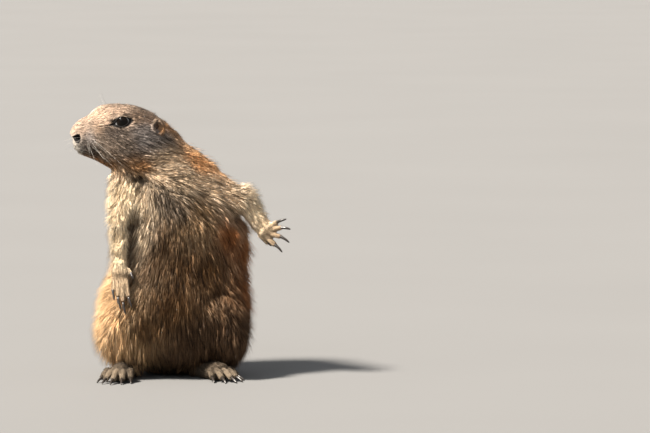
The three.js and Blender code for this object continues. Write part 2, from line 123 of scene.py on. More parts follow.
def joined_flesh():
    """All flesh as overlapping solids: seams swell shut, and the paws shrink by their coat."""
    solids = {node: closed_copy(node) for node in FLESH + EYES}
    for vert in solids["ear_right"].verts:
        vert.co += Vector(FAR_EAR_LOWER) * MM
    trees = {node: BVHTree.FromBMesh(made) for node, made in solids.items()}
    joined = bmesh.new()
    for node, made in solids.items():
        others = [tree for other, tree in trees.items() if other != node]
        slimming = PAW_SLIMMING if node in PAWS else 0
        moves = []
        for vert in made.verts:
            on_seam = any(tree.find_nearest(vert.co, SEAM_REACH * MM)[0] for tree in others)
            moves.append(vert.normal * MM * (SEAM_SWELL if on_seam else -slimming))
        for vert, move in zip(made.verts, moves):
            vert.co += move
        part = bpy.data.meshes.new(node + "_part")
        made.to_mesh(part)
        made.free()
        joined.from_mesh(part)
        bpy.data.meshes.remove(part)
    return joined


def finished_mesh(made, name, *modifiers):
    """The mesh that a shape has after its modifiers, each given as (kind, settings)."""
    mesh = bpy.data.meshes.new(name)
    made.to_mesh(mesh)
    made.free()
    return with_modifiers(mesh, name, *modifiers)


def with_modifiers(mesh, name, *modifiers, weights=None):
    worker = bpy.data.objects.new(name, mesh)
    bpy.context.scene.collection.objects.link(worker)
    if weights is not None:
        group = worker.vertex_groups.new(name="weights")
        for level in np.unique(weights):
            group.add(np.flatnonzero(weights == level).tolist(), float(level), "REPLACE")
    for kind, settings in modifiers:
        modifier = worker.modifiers.new(kind.lower(), kind)
        for key, value in settings.items():
            setattr(modifier, key, value)
    bpy.context.view_layer.update()
    depsgraph = bpy.context.evaluated_depsgraph_get()
    result = bpy.data.meshes.new_from_object(worker.evaluated_get(depsgraph))
    bpy.data.objects.remove(worker)
    bpy.data.meshes.remove(mesh)
    result.name = name
    return result


def read(collection, name, width, kind=np.float32):
    values = np.empty(len(collection) * width, kind)
    collection.foreach_get(name, values)
    return values.reshape(-1, width) if width > 1 else values


def largest_island(made):
    """Takes away closed bubbles inside the flesh."""
    left = set(made.verts)
    best = set()
    while left:
        start = left.pop()
        island = {start}
        edge = [start]
        while edge:
            for link in edge.pop().link_edges:
                for vert in link.verts:
                    if vert in left:
                        left.remove(vert)
                        island.add(vert)
                        edge.append(vert)
        if len(island) > len(best):
            best = island
    stray = [vert for vert in made.verts if vert not in best]
    bmesh.ops.delete(made, geom=stray, context="VERTS")


def relax(points, edges, strength, rounds):
    """Moves each point towards the middle of its neighbours."""
    first, second = edges.T
    count = len(points)
    degree = np.bincount(edges.ravel(), minlength=count)[:, None]
    for _ in range(rounds):
        total = np.stack([
            np.bincount(first, points[second, axis], count)
            + np.bincount(second, points[first, axis], count)
            for axis in range(3)
        ], axis=1)
        points = points + strength[:, None] * (total / degree - points)
    return points


def triangle_areas(corners):
    edges = corners[:, 1:] - corners[:, :1]
    return np.linalg.norm(np.cross(edges[:, 0], edges[:, 1]), axis=1) / 2


def spots_in(counts, random):
    """Random spots in triangles: which one, and how far along its two sides."""
    picked = np.repeat(np.arange(len(counts)), counts)
    a, b = random.random((2, len(picked)))
    flip = a + b > 1
    return picked, np.where(flip, 1 - a, a)[:, None], np.where(flip, 1 - b, b)[:, None]


OWNER_SPACING = 1.6                 # between the samples that say whose flesh a point is
OWNER_SEED = 11


def surface_samples(node, random):
    """Points spread over a node's surface."""
    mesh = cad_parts[node].data
    places = body_mm(read(mesh.vertices, "co", 3))
    mesh.calc_loop_triangles()
    corner = places[read(mesh.loop_triangles, "vertices", 3, np.int32)]
    counts = np.ceil(triangle_areas(corner) / OWNER_SPACING**2).astype(int)
    picked, a, b = spots_in(counts, random)
    edges = (corner[:, 1:] - corner[:, :1])[picked]
    return corner[picked, 0] + a * edges[:, 0] + b * edges[:, 1]


class Owners:
    """Says which node of flesh each point belongs to."""

    def __init__(self):
        random = np.random.default_rng(OWNER_SEED)
        samples = [surface_samples(node, random) for node in FLESH]
        self.labels = np.repeat(np.arange(len(FLESH)), [len(points) for points in samples])
        points = np.concatenate(samples)
        self.tree = KDTree(len(points))
        for index, place in enumerate(points):
            self.tree.insert(place, index)
        self.tree.balance()

    def of(self, points):
        nearest = [self.tree.find(place)[1] for place in points]
        return self.labels[nearest]


def among(owners, nodes):
    return np.isin(owners, [FLESH.index(node) for node in nodes])


# The lie of the coat: places on the body with the way the hair runs there, its length,
# how far it stands up, and its tone. The coat between them is a blend of the nearest.

Guide = namedtuple("Guide", "place flow length lift tone")
Tone = namedtuple("Tone", "colour dark pale")

TONES = {
    "muzzle": Tone((0.41, 0.29, 0.21), 0.14, 0.24),
    "crown": Tone((0.695, 0.495, 0.355), 0.15, 0.28),
    "brow": Tone((0.42, 0.285, 0.191), 0.22, 0.30),
    "pad": Tone((0.035, 0.024, 0.017), 0.36, 0.18),
    "cheek": Tone((0.25, 0.187, 0.137), 0.42, 0.36),
    "under_eye": Tone((0.100, 0.075, 0.059), 0.42, 0.34),
    "temple": Tone((0.375, 0.32, 0.285), 0.36, 0.38),
    "lip": Tone((0.88, 0.81, 0.71), 0.00, 0.30),
    "chin": Tone((0.28, 0.135, 0.052), 0.14, 0.20),
    "jaw": Tone((0.365, 0.160, 0.047), 0.24, 0.22),
    "throat": Tone((0.80, 0.62, 0.42), 0.06, 0.32),
    "nape": Tone((0.765, 0.385, 0.157), 0.16, 0.28),
    "shoulder": Tone((0.77, 0.57, 0.375), 0.24, 0.30),
    "neck": Tone((0.54, 0.385, 0.245), 0.24, 0.28),
    "wrist": Tone((0.72, 0.56, 0.37), 0.08, 0.28),
    # dark roots of the chest's whorl, with painted shade where the head shades the chest and in
    # the gap behind the hanging arm
    "whorl_and_shade": Tone((0.21, 0.152, 0.104), 0.35, 0.24),
    "chest": Tone((0.25, 0.148, 0.071), 0.24, 0.28),
    "breast": Tone((0.174, 0.097, 0.045), 0.24, 0.26),
    "cream": Tone((0.93, 0.73, 0.50), 0.05, 0.34),
    # the belly and the underside are darker partly in their own brown, partly as painted shade
    "belly": Tone((0.113, 0.052, 0.017), 0.26, 0.26),
    "under": Tone((0.090, 0.047, 0.022), 0.30, 0.20),
    "rust": Tone((0.25, 0.083, 0.021), 0.18, 0.18),
    "thigh": Tone((0.77, 0.485, 0.245), 0.12, 0.20),
    "back": Tone((0.365, 0.21, 0.104), 0.28, 0.26),
    "arm": Tone((0.93, 0.74, 0.49), 0.03, 0.34),
    "forearm": Tone((0.93, 0.75, 0.51), 0.03, 0.30),
    "paw": Tone((0.485, 0.35, 0.22), 0.14, 0.28),
    "knuckle": Tone((0.35, 0.24, 0.152), 0.25, 0.25),
    # the feet's dark tone is partly their own and partly painted shade
    "foot": Tone((0.078, 0.056, 0.037), 0.25, 0.28),
    "toe": Tone((0.2, 0.152, 0.104), 0.20, 0.30),
    "tail": Tone((0.35, 0.174, 0.074), 0.24, 0.18),
    "tail_tip": Tone((0.039, 0.028, 0.021), 0.30, 0.05),
    "ear": Tone((0.165, 0.117, 0.080), 0.30, 0.30),
    "ear_rim": Tone((0.35, 0.245, 0.161), 0.20, 0.32),
}

# On the head, Y is the distance from its middle plane, so both sides are alike.
HEAD_COAT = [
    Guide((-74, 0, 176), (0.7, 0.0, 0.8), 1.2, 14, "muzzle"),
    Guide((-66, 0, 183), (1.0, 0.1, 0.4), 1.7, 16, "muzzle"),
    Guide((-58, 0, 189), (1.0, 0.1, 0.4), 2.4, 18, "crown"),
    Guide((-48, 0, 195), (1.0, 0.1, 0.3), 3.0, 20, "crown"),
    Guide((-34, 0, 196), (1.0, 0.1, 0.0), 3.4, 20, "crown"),
    Guide((-20, 0, 193), (1.0, 0.0, -0.3), 4.6, 20, "crown"),
    Guide((-7, 0, 184), (0.8, 0.0, -0.6), 6.0, 20, "nape"),
    Guide((-72, 4, 178), (1.0, 0.2, 0.4), 1.3, 14, "muzzle"),
    Guide((-73, 2, 169), (0.3, 0.5, -0.8), 1.3, 18, "lip"),
    Guide((-72, 4, 165), (0.3, 0.5, -0.8), 1.5, 18, "lip"),
    Guide((-70, 5, 163), (0.5, 0.3, -0.8), 1.5, 18, "lip"),
    Guide((-68, 7, 166), (0.6, 0.3, -0.7), 1.6, 18, "pad"),
    Guide((-64, 9, 167), (0.9, 0.4, -0.4), 1.9, 18, "pad"),
    Guide((-58, 11, 164), (0.9, 0.3, -0.5), 2.4, 18, "pad"),
    Guide((-64, 4, 158), (0.9, 0.0, -0.4), 2.2, 18, "chin"),
    Guide((-54, 5, 154), (1.0, 0.0, -0.3), 3.4, 18, "chin"),
    Guide((-65, 8, 177), (1.0, 0.2, 0.1), 1.6, 16, "muzzle"),
    Guide((-60, 10, 172), (1.0, 0.3, -0.2), 1.9, 16, "temple"),
    Guide((-53, 13, 178), (1.0, 0.3, 0.0), 2.1, 16, "brow"),
    Guide((-50, 15, 171), (1.0, 0.2, -0.3), 2.6, 17, "cheek"),
    Guide((-50, 13, 187), (1.0, 0.3, 0.25), 2.2, 16, "crown"),
    Guide((-40, 19, 176), (1.0, 0.1, -0.3), 2.6, 16, "under_eye"),
    Guide((-47, 16, 176), (1.0, 0.2, -0.3), 2.4, 16, "under_eye"),
    Guide((-37, 15, 192), (1.0, 0.2, 0.1), 2.4, 17, "crown"),
    Guide((-26, 19, 188), (1.0, 0.0, -0.1), 3.2, 18, "brow"),
    Guide((-22, 21, 178), (1.0, 0.0, -0.3), 3.6, 18, "temple"),
    Guide((-36, 22, 166), (0.95, 0.0, -0.4), 3.8, 18, "cheek"),
    Guide((-18, 22, 168), (0.90, 0.0, -0.4), 4.8, 19, "temple"),
    Guide((-48, 13, 161), (0.95, 0.0, -0.4), 3.8, 18, "cheek"),
    Guide((-44, 11, 155), (0.95, 0.0, -0.35), 4.4, 18, "jaw"),
    Guide((-30, 17, 154), (0.95, 0.0, -0.30), 5.4, 20, "jaw"),
    Guide((-8, 20, 170), (0.85, 0.0, -0.5), 6.0, 20, "temple"),
    Guide((-40, 0, 150), (1.0, 0.0, -0.4), 5.0, 18, "throat"),
]

TORSO_COAT = [
    # neck and the near shoulder, where the hair sweeps towards the outstretched arm
    Guide((-24, -24, 152), (0.97, -0.10, -0.15), 6.5, 20, "jaw"),
    Guide((-12, -24, 158), (0.98, -0.10, 0.10), 7.5, 19, "neck"),
    Guide((-8, -28, 148), (1.00, -0.10, -0.05), 9.0, 19, "shoulder"),
    Guide((6, -24, 148), (0.95, -0.10, -0.25), 9.0, 19, "shoulder"),
    Guide((8, -28, 138), (0.95, -0.10, -0.30), 10.0, 20, "shoulder"),
    Guide((14, -14, 154), (0.85, 0.00, -0.50), 8.0, 20, "nape"),
    Guide((22, -20, 138), (0.95, -0.05, -0.25), 10.0, 20, "shoulder"),
    Guide((26, 0, 144), (0.90, 0.05, -0.40), 8.0, 20, "nape"),
    Guide((16, -30, 126), (0.70, -0.10, -0.70), 11.0, 20, "chest"),
    # throat and chest
    Guide((-24, -24, 144), (0.15, -0.20, -1.00), 8.0, 20, "throat"),
    Guide((-38, -10, 145), (-0.70, -0.20, -0.70), 10.0, 48, "cream"),
    Guide((-30, -26, 138), (-0.05, -0.20, -1.00), 9.0, 22, "cream"),
    Guide((-24, -30, 126), (0.05, -0.10, -1.00), 11.0, 20, "cream"),
    Guide((-10, -32, 134), (0.30, -0.10, -0.90), 9.0, 22, "whorl_and_shade"),
    Guide((0, -34, 126), (0.35, -0.10, -0.90), 10.0, 22, "whorl_and_shade"),
    Guide((-25, -33, 115), (0.10, 0.00, -1.00), 12.0, 20, "cream"),
    Guide((-8, -37, 111), (0.10, 0.00, -1.00), 12.0, 20, "breast"),
    Guide((-8, -38, 103), (0.05, 0.00, -1.00), 12.0, 20, "belly"),
    Guide((-16, -39, 98), (0.02, 0.00, -1.00), 12.0, 20, "belly"),
    Guide((6, -38, 112), (0.10, 0.00, -1.00), 12.0, 20, "chest"),
    Guide((20, -34, 112), (0.25, 0.00, -1.00), 12.0, 20, "chest"),
    Guide((38, -22, 108), (0.20, 0.00, -1.00), 12.0, 20, "rust"),
    # painted shade in the gap between the hanging arm and the chest
    Guide((-34, -20, 102), (-0.05, 0.00, -1.00), 12.0, 20, "whorl_and_shade"),
    Guide((-26, -32, 104), (-0.05, 0.00, -1.00), 12.0, 22, "cream"),
    # belly
    Guide((-16, -40, 90), (0.00, 0.00, -1.00), 12.5, 20, "belly"),
    Guide((6, -42, 86), (0.03, 0.00, -1.00), 12.5, 20, "belly"),
    Guide((26, -36, 84), (0.08, 0.00, -1.00), 12.5, 20, "belly"),
    Guide((0, -44, 60), (0.00, 0.00, -1.00), 13.0, 20, "belly"),
    Guide((-22, -44, 42), (0.05, 0.00, -1.00), 12.5, 20, "belly"),
    Guide((14, -42, 36), (0.10, 0.00, -1.00), 12.5, 20, "under"),
    Guide((0, -36, 14), (0.00, 0.20, -1.00), 10.0, 18, "under"),
    # flanks
    Guide((48, -8, 116), (0.20, -0.10, -1.00), 11.0, 20, "rust"),
    Guide((48, -8, 96), (0.15, 0.05, -1.00), 12.0, 26, "rust"),
    Guide((53, -4, 66), (0.10, 0.10, -1.00), 12.0, 26, "rust"),
    Guide((-42, -8, 100), (-0.55, 0.05, -0.85), 13.0, 44, "cream"),
    Guide((-50, -6, 66), (-0.50, 0.10, -0.85), 12.0, 42, "thigh"),
    # haunches
    Guide((-44, -28, 52), (-0.15, -0.10, -1.00), 12.0, 22, "thigh"),
    Guide((-50, -18, 40), (-0.50, -0.10, -0.85), 12.0, 40, "thigh"),
    Guide((-36, -38, 30), (0.05, -0.15, -1.00), 12.0, 22, "thigh"),
    Guide((-44, -30, 16), (0.00, -0.20, -1.00), 10.0, 22, "thigh"),
    Guide((-52, 6, 34), (-0.40, 0.25, -0.90), 12.0, 36, "thigh"),
    Guide((46, -24, 40), (0.15, -0.10, -1.00), 12.0, 22, "under"),
    Guide((44, -30, 18), (-0.05, -0.20, -1.00), 10.0, 20, "under"),
    Guide((52, 6, 34), (0.10, 0.25, -1.00), 12.0, 24, "rust"),
    # back and rump
    Guide((0, 24, 160), (0.10, 0.40, -1.00), 8.0, 18, "nape"),
    Guide((0, 36, 140), (0.00, 0.30, -1.00), 8.0, 17, "back"),
    Guide((-26, 26, 120), (-0.10, 0.10, -1.00), 8.5, 18, "back"),
    Guide((28, 26, 120), (0.10, 0.10, -1.00), 8.5, 17, "back"),
    Guide((0, 44, 96), (0.00, 0.15, -1.00), 8.5, 16, "back"),
    Guide((-30, 38, 60), (-0.05, 0.25, -1.00), 9.0, 18, "back"),
    Guide((32, 38, 60), (0.05, 0.25, -1.00), 9.0, 17, "back"),
    Guide((0, 50, 46), (0.00, 0.40, -0.90), 9.0, 16, "back"),
    Guide((-24, 46, 20), (0.10, 0.80, -0.50), 8.5, 17, "back"),
    Guide((26, 46, 20), (-0.10, 0.80, -0.50), 8.5, 17, "back"),
    # the outstretched arm
    Guide((40, -12, 134), (0.95, -0.10, -0.25), 9.0, 22, "shoulder"),
    Guide((44, -8, 122), (0.80, -0.10, -0.60), 9.0, 22, "shoulder"),
    Guide((52, -8, 135), (0.90, -0.10, 0.25), 8.5, 34, "cream"),
    Guide((60, -10, 125), (0.85, -0.10, -0.45), 7.0, 40, "forearm"),
    Guide((54, -15, 121), (0.62, -0.15, -0.75), 5.5, 20, "forearm"),
    Guide((64, -16, 108), (0.62, -0.15, -0.75), 3.2, 16, "wrist"),
]

HANGING_ARM_COAT = [
    Guide((-34, -20, 136), (-0.15, -0.20, -1.00), 9.0, 22, "arm"),
    Guide((-42, -14, 128), (-0.70, -0.05, -0.75), 9.0, 44, "arm"),
    Guide((-40, -12, 142), (-0.80, -0.10, -0.60), 8.5, 44, "cream"),
    Guide((-36, -30, 120), (-0.10, -0.20, -1.00), 8.0, 20, "arm"),
    Guide((-48, -22, 112), (-0.70, -0.05, -0.75), 8.0, 46, "arm"),
    # painted shade in the gap between the hanging arm and the chest
    Guide((-30, -26, 112), (0.10, 0.00, -1.00), 8.0, 22, "whorl_and_shade"),
    Guide((-38, -36, 104), (0.00, -0.10, -1.00), 6.0, 18, "arm"),
    Guide((-44, -30, 98), (-0.60, -0.10, -0.80), 6.5, 42, "arm"),
    Guide((-38, -35, 90), (0.00, -0.10, -1.00), 4.0, 16, "arm"),
    Guide((-38, -34, 82), (0.00, -0.10, -1.00), 2.8, 12, "arm"),
]

PAW_COAT = {
    "hand_right": [
        Guide((-38, -32, 83), (0.00, -0.10, -1.00), 2.8, 12, "arm"),
        Guide((-38, -36, 75), (0.05, -0.10, -1.00), 2.6, 13, "paw"),
        Guide((-37, -40, 67), (0.05, -0.20, -1.00), 2.2, 13, "paw"),
        Guide((-34, -40, 58), (0.10, -0.10, -1.00), 1.5, 12, "knuckle"),
    ],
    "hand_left": [
        Guide((65, -15, 108), (0.80, -0.15, -0.45), 2.8, 13, "wrist"),
        Guide((70, -18, 105), (0.92, -0.20, -0.25), 2.4, 15, "paw"),
        Guide((77, -20, 103), (0.95, -0.20, -0.15), 1.6, 13, "knuckle"),
    ],
    "foot_right": [
        Guide((-33, -22, 14), (-0.24, -0.97, -0.20), 4.0, 16, "foot"),
        Guide((-38, -38, 11), (-0.24, -0.97, -0.10), 2.6, 15, "foot"),
        Guide((-42, -52, 6), (-0.24, -0.97, -0.20), 1.6, 13, "toe"),
    ],
    "foot_left": [
        Guide((18, -16, 14), (0.57, -0.82, -0.20), 4.0, 16, "foot"),
        Guide((32, -32, 11), (0.57, -0.82, -0.10), 2.6, 15, "foot"),
        Guide((40, -46, 6), (0.57, -0.82, -0.20), 1.6, 13, "toe"),
    ],
}
TAIL_COAT = [
    Guide((1, 50, 20), (0.0, 1.0, -0.3), 9.0, 18, "back"),
    Guide((2, 70, 16), (0.0, 1.0, -0.1), 9.0, 20, "tail"),
    Guide((3, 88, 16), (0.0, 1.0, 0.0), 9.0, 22, "tail"),
    Guide((2, 104, 14), (-0.1, 1.0, 0.0), 9.0, 22, "tail_tip"),
    Guide((-1, 118, 10), (-0.2, 1.0, 0.0), 9.0, 20, "tail_tip"),
]
EAR_COAT = [
    Guide((-15, 20, 184), (0.6, 0.2, 0.5), 2.4, 24, "ear"),
    Guide((-12, 20, 188), (0.8, 0.2, 0.1), 2.6, 24, "ear_rim"),
    Guide((-8, 20, 185), (0.8, 0.2, -0.3), 2.8, 24, "ear"),
    Guide((-14, 20, 180), (0.5, 0.2, 0.5), 2.4, 22, "temple"),
    Guide((-8, 20, 179), (0.8, 0.1, -0.5), 2.8, 22, "nape"),
    Guide((-12, 20, 175), (0.8, 0.1, -0.6), 3.0, 22, "ear"),
]

GUIDE_REACH = 4.0                   # guides nearer than this count alike


def combed(points, guides):
    """The coat's flow, length, lift and tone at each point, blended from the guides."""
    places = np.array([guide.place for guide in guides], float)
    squares = ((points[:, None] - places) ** 2).sum(2) + GUIDE_REACH**2
    weights = squares**-2.0
    weights /= weights.sum(1, keepdims=True)
    tones = [TONES[guide.tone] for guide in guides]
    return {
        "flow": weights @ np.array([unit(np.array(guide.flow, float)) for guide in guides]),
        "length": weights @ np.array([guide.length for guide in guides]),
        "lift": weights @ np.radians([guide.lift for guide in guides]),
        "colour": weights @ np.array([tone.colour for tone in tones]),
        "dark": weights @ np.array([tone.dark for tone in tones]),
        "pale": weights @ np.array([tone.pale for tone in tones]),
    }


def head_sides(points):
    """Points of the head with Y as the distance from its middle plane, and their side."""
    side = np.where(points[:, 1] < HEAD_Y, NEAR, FAR)
    return np.column_stack([points[:, 0], abs(points[:, 1] - HEAD_Y), points[:, 2]]), side


# Where two coats meet: a place on the seam, the way out of it and the blend's reach
Seam = namedtuple("Seam", "place way reach")
HEAD_SEAM = Seam((-20.3, HEAD_Y, 161.7), (-0.51, 0, 0.86), 9)
SHOULDER_SEAM = Seam((-27, -12, 135), (-0.91, -0.41, 0), 4)
TAIL_SEAM = Seam((1, 52, 14), (0, 1, -0.15), 6)
ARM_FREE_BELOW = (118, 130)         # the hanging arm's own coat below the shoulder

# The fold between the jaw and the shoulder, in the picture's plane: a groove with painted shade
# along it
FOLD = [(-35.3, 148.4), (-26.0, 145.2), (-16.6, 141.2), (-5.8, 137.2), (5, 133.5)]
FOLD_DEEP = 2.6
FOLD_HALF = 2.3
FOLD_SHADE = 0.85
FOLD_FACE = (-16, -9)               # the fold ends between these places in Y

# The upper lid's thin pale edge as a painted highlight, and the crease above it as painted
# shade, seen from beside the eye
LID_LINE = [(3.8, 3.4), (0.4, 4.3), (-4.4, 3.6)]
LID_HIGHLIGHT_COLOUR = np.array((0.50, 0.37, 0.27))
CREASE = [(6.4, 2.6), (4.4, 4.6), (0.4, 5.7), (-4.6, 5.0), (-7.6, 2.9)]
CREASE_SHADE = 0.5

# The coat is fuller on the flank under the outstretched arm
FLANK_PLACE = np.array((50, -8, 88))
FLANK_REACH = np.array((30, 40, 34))
FLANK_FULLER = 1.5


def beyond(points, seam):
    """0 before a seam, 1 beyond it, blending over its reach."""
    past = (points - np.array(seam.place)) @ unit(np.array(seam.way, float))
    return fade(-past, -seam.reach, seam.reach)


def in_fold(points):
    """1 in the middle of the fold, on the side that faces the camera."""
    off_fold = from_line(points[:, 0], points[:, 2], FOLD)
    return fade(off_fold, 0.2, FOLD_HALF) * fade(points[:, 1], *FOLD_FACE)


def around_eyes(points, flow):
    """Hair near an eye turns aside instead of growing over it."""
    for side in (NEAR, FAR):
        ahead, above, outward = eye_view(points, side)
        far_off = np.hypot(ahead, above)
        away = np.column_stack([-ahead, 0 * ahead, above]) / np.maximum(far_off, 0.1)[:, None]
        towards = np.minimum((flow * away).sum(1), 0) * fade(far_off, 6.0, 9.5) * (outward > -4)
        flow = flow - away * towards[:, None] * 1.1
    return flow


def lid_lines(points, colour):
    """The coat's colour with a painted highlight on each upper lid's edge and painted shade in
    the crease over it.
    """
    for side in (NEAR, FAR):
        ahead, above, outward = eye_view(points, side)
        beside = outward > -4
        crease = fade(from_line(ahead, above, CREASE), 0.3, 1.0) * beside
        edge = fade(from_line(ahead, above, LID_LINE), 0.3, 0.8) * beside
        colour = colour * (1 - CREASE_SHADE * crease)[:, None]
        colour = mix(colour, LID_HIGHLIGHT_COLOUR, edge[:, None])
    return colour


def coat_at(points, owners):
    """The coat at points that belong to the given nodes."""
    coat = combed(points, TORSO_COAT)
    folded, side = head_sides(points)
    hanging = np.maximum(beyond(points, SHOULDER_SEAM), fade(points[:, 2], *ARM_FREE_BELOW))
    for share, guides, places in (
        (beyond(points, HEAD_SEAM) * among(owners, HEAD + ["neck"]), HEAD_COAT, folded),
        (among(owners, EARS) * 1.0, EAR_COAT, folded),
        (hanging * among(owners, HANGING_ARM), HANGING_ARM_COAT, points),
        (beyond(points, TAIL_SEAM) * among(owners, ["tail"]), TAIL_COAT, points),
        *((among(owners, [paw]) * 1.0, guides, points) for paw, guides in PAW_COAT.items()),
    ):
        chosen = share > 0
        if not chosen.any():
            continue
        part = combed(places[chosen], guides)
        if places is folded:
            part["flow"][:, 1] *= side[chosen]
        for key, values in part.items():
            weight = share[chosen] if values.ndim == 1 else share[chosen, None]
            coat[key][chosen] = mix(coat[key][chosen], values, weight)
    coat["flow"] = around_eyes(points, coat["flow"])
    coat["colour"] = lid_lines(points, coat["colour"])
    # painted shade along the fold under the jaw
    coat["colour"] *= (1 - FOLD_SHADE * in_fold(points))[:, None]
    return coat


# Bare skin and the shapes of the face

EYE_FRONT = 4.8                     # corners of the eye's opening from its middle
EYE_BACK = 5.1
FRONT_CORNER_UP = -1.3
BACK_CORNER_UP = 0.8
UPPER_ARCH = 2.9
LOWER_ARCH = 2.3
LID_THICK = 0.7
LID_STEPS = [-3.0, -1.2, -0.25, 0.0, 0.25]    # from the lid's outer edge into the opening
LID_RISE = [0.2, LID_THICK, LID_THICK, 0.2, -1.3]  # the skin's height over the eyeball
BROW_OUT = 0.9                      # the brow stands out over the upper lid
BROW_ABOVE = 3.4
DUCT_END = (8.3, -2.5)              # the dark groove ahead of the eye
DUCT_HALF = 0.7
DUCT_DEEP = 0.7
# The dark shape is the lids' dark skin, with painted shade under the brow and in the duct's
# groove.
EYE_DARK = [                        # the whole dark shape of eye, lids and duct
    (8.8, -2.1), (5.6, 1.4), (2.8, 2.9), (0.4, 3.5), (-2.6, 3.5),
    (-5.0, 3.0), (-7.4, 1.2), (-4.2, -2.3), (1.6, -3.2), (6.0, -2.8),
]


def eye_view(points, side):
    """Places seen from beside an eye: ahead of it, above it and out from the head."""
    ahead = EYE_X - points[:, 0]
    above = points[:, 2] - EYE_Z
    outward = (points[:, 1] - HEAD_Y) * side - EYE_OUT
    return ahead, above, outward


def opening_depth(ahead, above):
    """How far inside the eye's opening a place lies, less than 0 outside it."""
    share = np.clip((ahead + EYE_BACK) / (EYE_FRONT + EYE_BACK), 0, 1)
    line = mix(BACK_CORNER_UP, FRONT_CORNER_UP, share)
    arch = np.sin(np.pi * share) ** 0.75
    between = np.minimum(line + UPPER_ARCH * arch - above, above - line + LOWER_ARCH * arch)
    past = np.maximum(ahead - EYE_FRONT, -EYE_BACK - ahead)
    return np.minimum(between, -past)


def from_line(x, z, path):
    """Distance from a line of points in the plane of the head's profile."""
    best = np.full(len(x), np.inf)
    for (x0, z0), (x1, z1) in zip(path, path[1:]):
        along = ((x - x0) * (x1 - x0) + (z - z0) * (z1 - z0)) / ((x1 - x0) ** 2 + (z1 - z0) ** 2)
        along = np.clip(along, 0, 1)
        best = np.minimum(best, np.hypot(x - mix(x0, x1, along), z - mix(z0, z1, along)))
    return best


def duct_distance(ahead, above):
    return from_line(ahead, above, [(EYE_FRONT - 0.6, FRONT_CORNER_UP), DUCT_END])


def lay_lids(points, side):
    """The skin lies over the eyeball as lids, and dips behind it inside the opening."""
    ahead, above, outward = eye_view(points, side)
    near = (outward > 0.5) & (np.hypot(ahead, above) < 12)
    depth = opening_depth(ahead[near], above[near])
    radius = np.interp(depth, LID_STEPS, EYE_RADIUS + np.array(LID_RISE))
    centre = np.array([EYE_X, HEAD_Y + side * EYE_OUT, EYE_Z])
    offset = points[near] - centre
    share = fade(-depth, 0.8, 3.6)[:, None]
    points[near] = mix(points[near], centre + unit(offset) * radius[:, None], share)
    groove = fade(duct_distance(ahead[near], above[near]), 0.2, DUCT_HALF * 1.6)
    brow = fade(abs(-depth - BROW_ABOVE), 0.2, 2.4) * (above[near] > 1.5)
    points[near, 1] += side * (brow * BROW_OUT - groove * DUCT_DEEP)
    return points


# The dark nostril in profile: a wedge that leans back over the lip
NOSTRIL = [
    (-72.9, 172.8), (-71.4, 173.6), (-69.5, 174.7), (-67.6, 174.6), (-67.0, 172.6),
    (-67.2, 170.2), (-68.4, 168.4), (-70.0, 168.8), (-71.2, 170.2), (-72.2, 171.6),
]
NOSTRIL_DEEP = 2.4
LIP_BACK = 1.0                      # the lip starts this far behind the nose's tip
MOUTH = [(-71.3, 163.2), (-68.9, 162.2), (-65.6, 161.1), (-62.5, 160.2), (-58.2, 159.1)]
MOUTH_DEEP = 0.7
MOUTH_HALF = 0.9


def inside(x, z, corners):
    """Whether each place lies inside a closed outline."""
    result = np.zeros(len(x), bool)
    for (x0, z0), (x1, z1) in zip(corners, corners[1:] + corners[:1]):
        crosses = (z0 > z) != (z1 > z)
        result ^= crosses & (x < (x1 - x0) * (z - z0) / (z1 - z0 + 1e-12) + x0)
    return result


def depth_in(x, z, corners):
    """How far inside a closed outline a place lies, less than 0 outside it."""
    return from_line(x, z, corners + corners[:1]) * np.where(inside(x, z, corners), 1, -1)


def carve_muzzle(points, side):
    """Nostrils, the cleft of the lip and the line of the mouth."""
    x, z = points[:, 0], points[:, 2]
    out = (points[:, 1] - HEAD_Y) * side
    ahead_of_eye = (x < -52) & (out > -0.5)
    hole = fade(-depth_in(x, z, NOSTRIL), -1.8, 0.1) * fade(-out, -2.2, -0.8) * ahead_of_eye
    points[:, 1] -= side * hole * NOSTRIL_DEEP
    points[:, 0] += hole * NOSTRIL_DEEP * 0.5
    notch = fade(abs(z - 171.2), 0.6, 2.4) * fade(abs(out), 2, 5) * (x < -70)
    points[:, 0] += notch * LIP_BACK / 2
    groove = fade(from_line(x, z, MOUTH), 0.1, MOUTH_HALF) * ahead_of_eye * (z < 166)
    points[:, 1] -= side * groove * MOUTH_DEEP
    points[:, 2] += groove * MOUTH_DEEP * 0.3
    cleft = fade(abs(out), 0.1, 0.8) * fade(z, 168.5, 170) * fade(-z, -162, -160) * (x < -66)
    points[:, 0] += cleft * 0.5
    return points


# The ear's opening in profile, only painted: a dark slit of painted shade
EAR_SLIT = [(-11.2, 185.6), (-12.2, 183.6), (-11.0, 181.0), (-12.2, 179.0)]
EAR_SLIT_HALF = 0.4


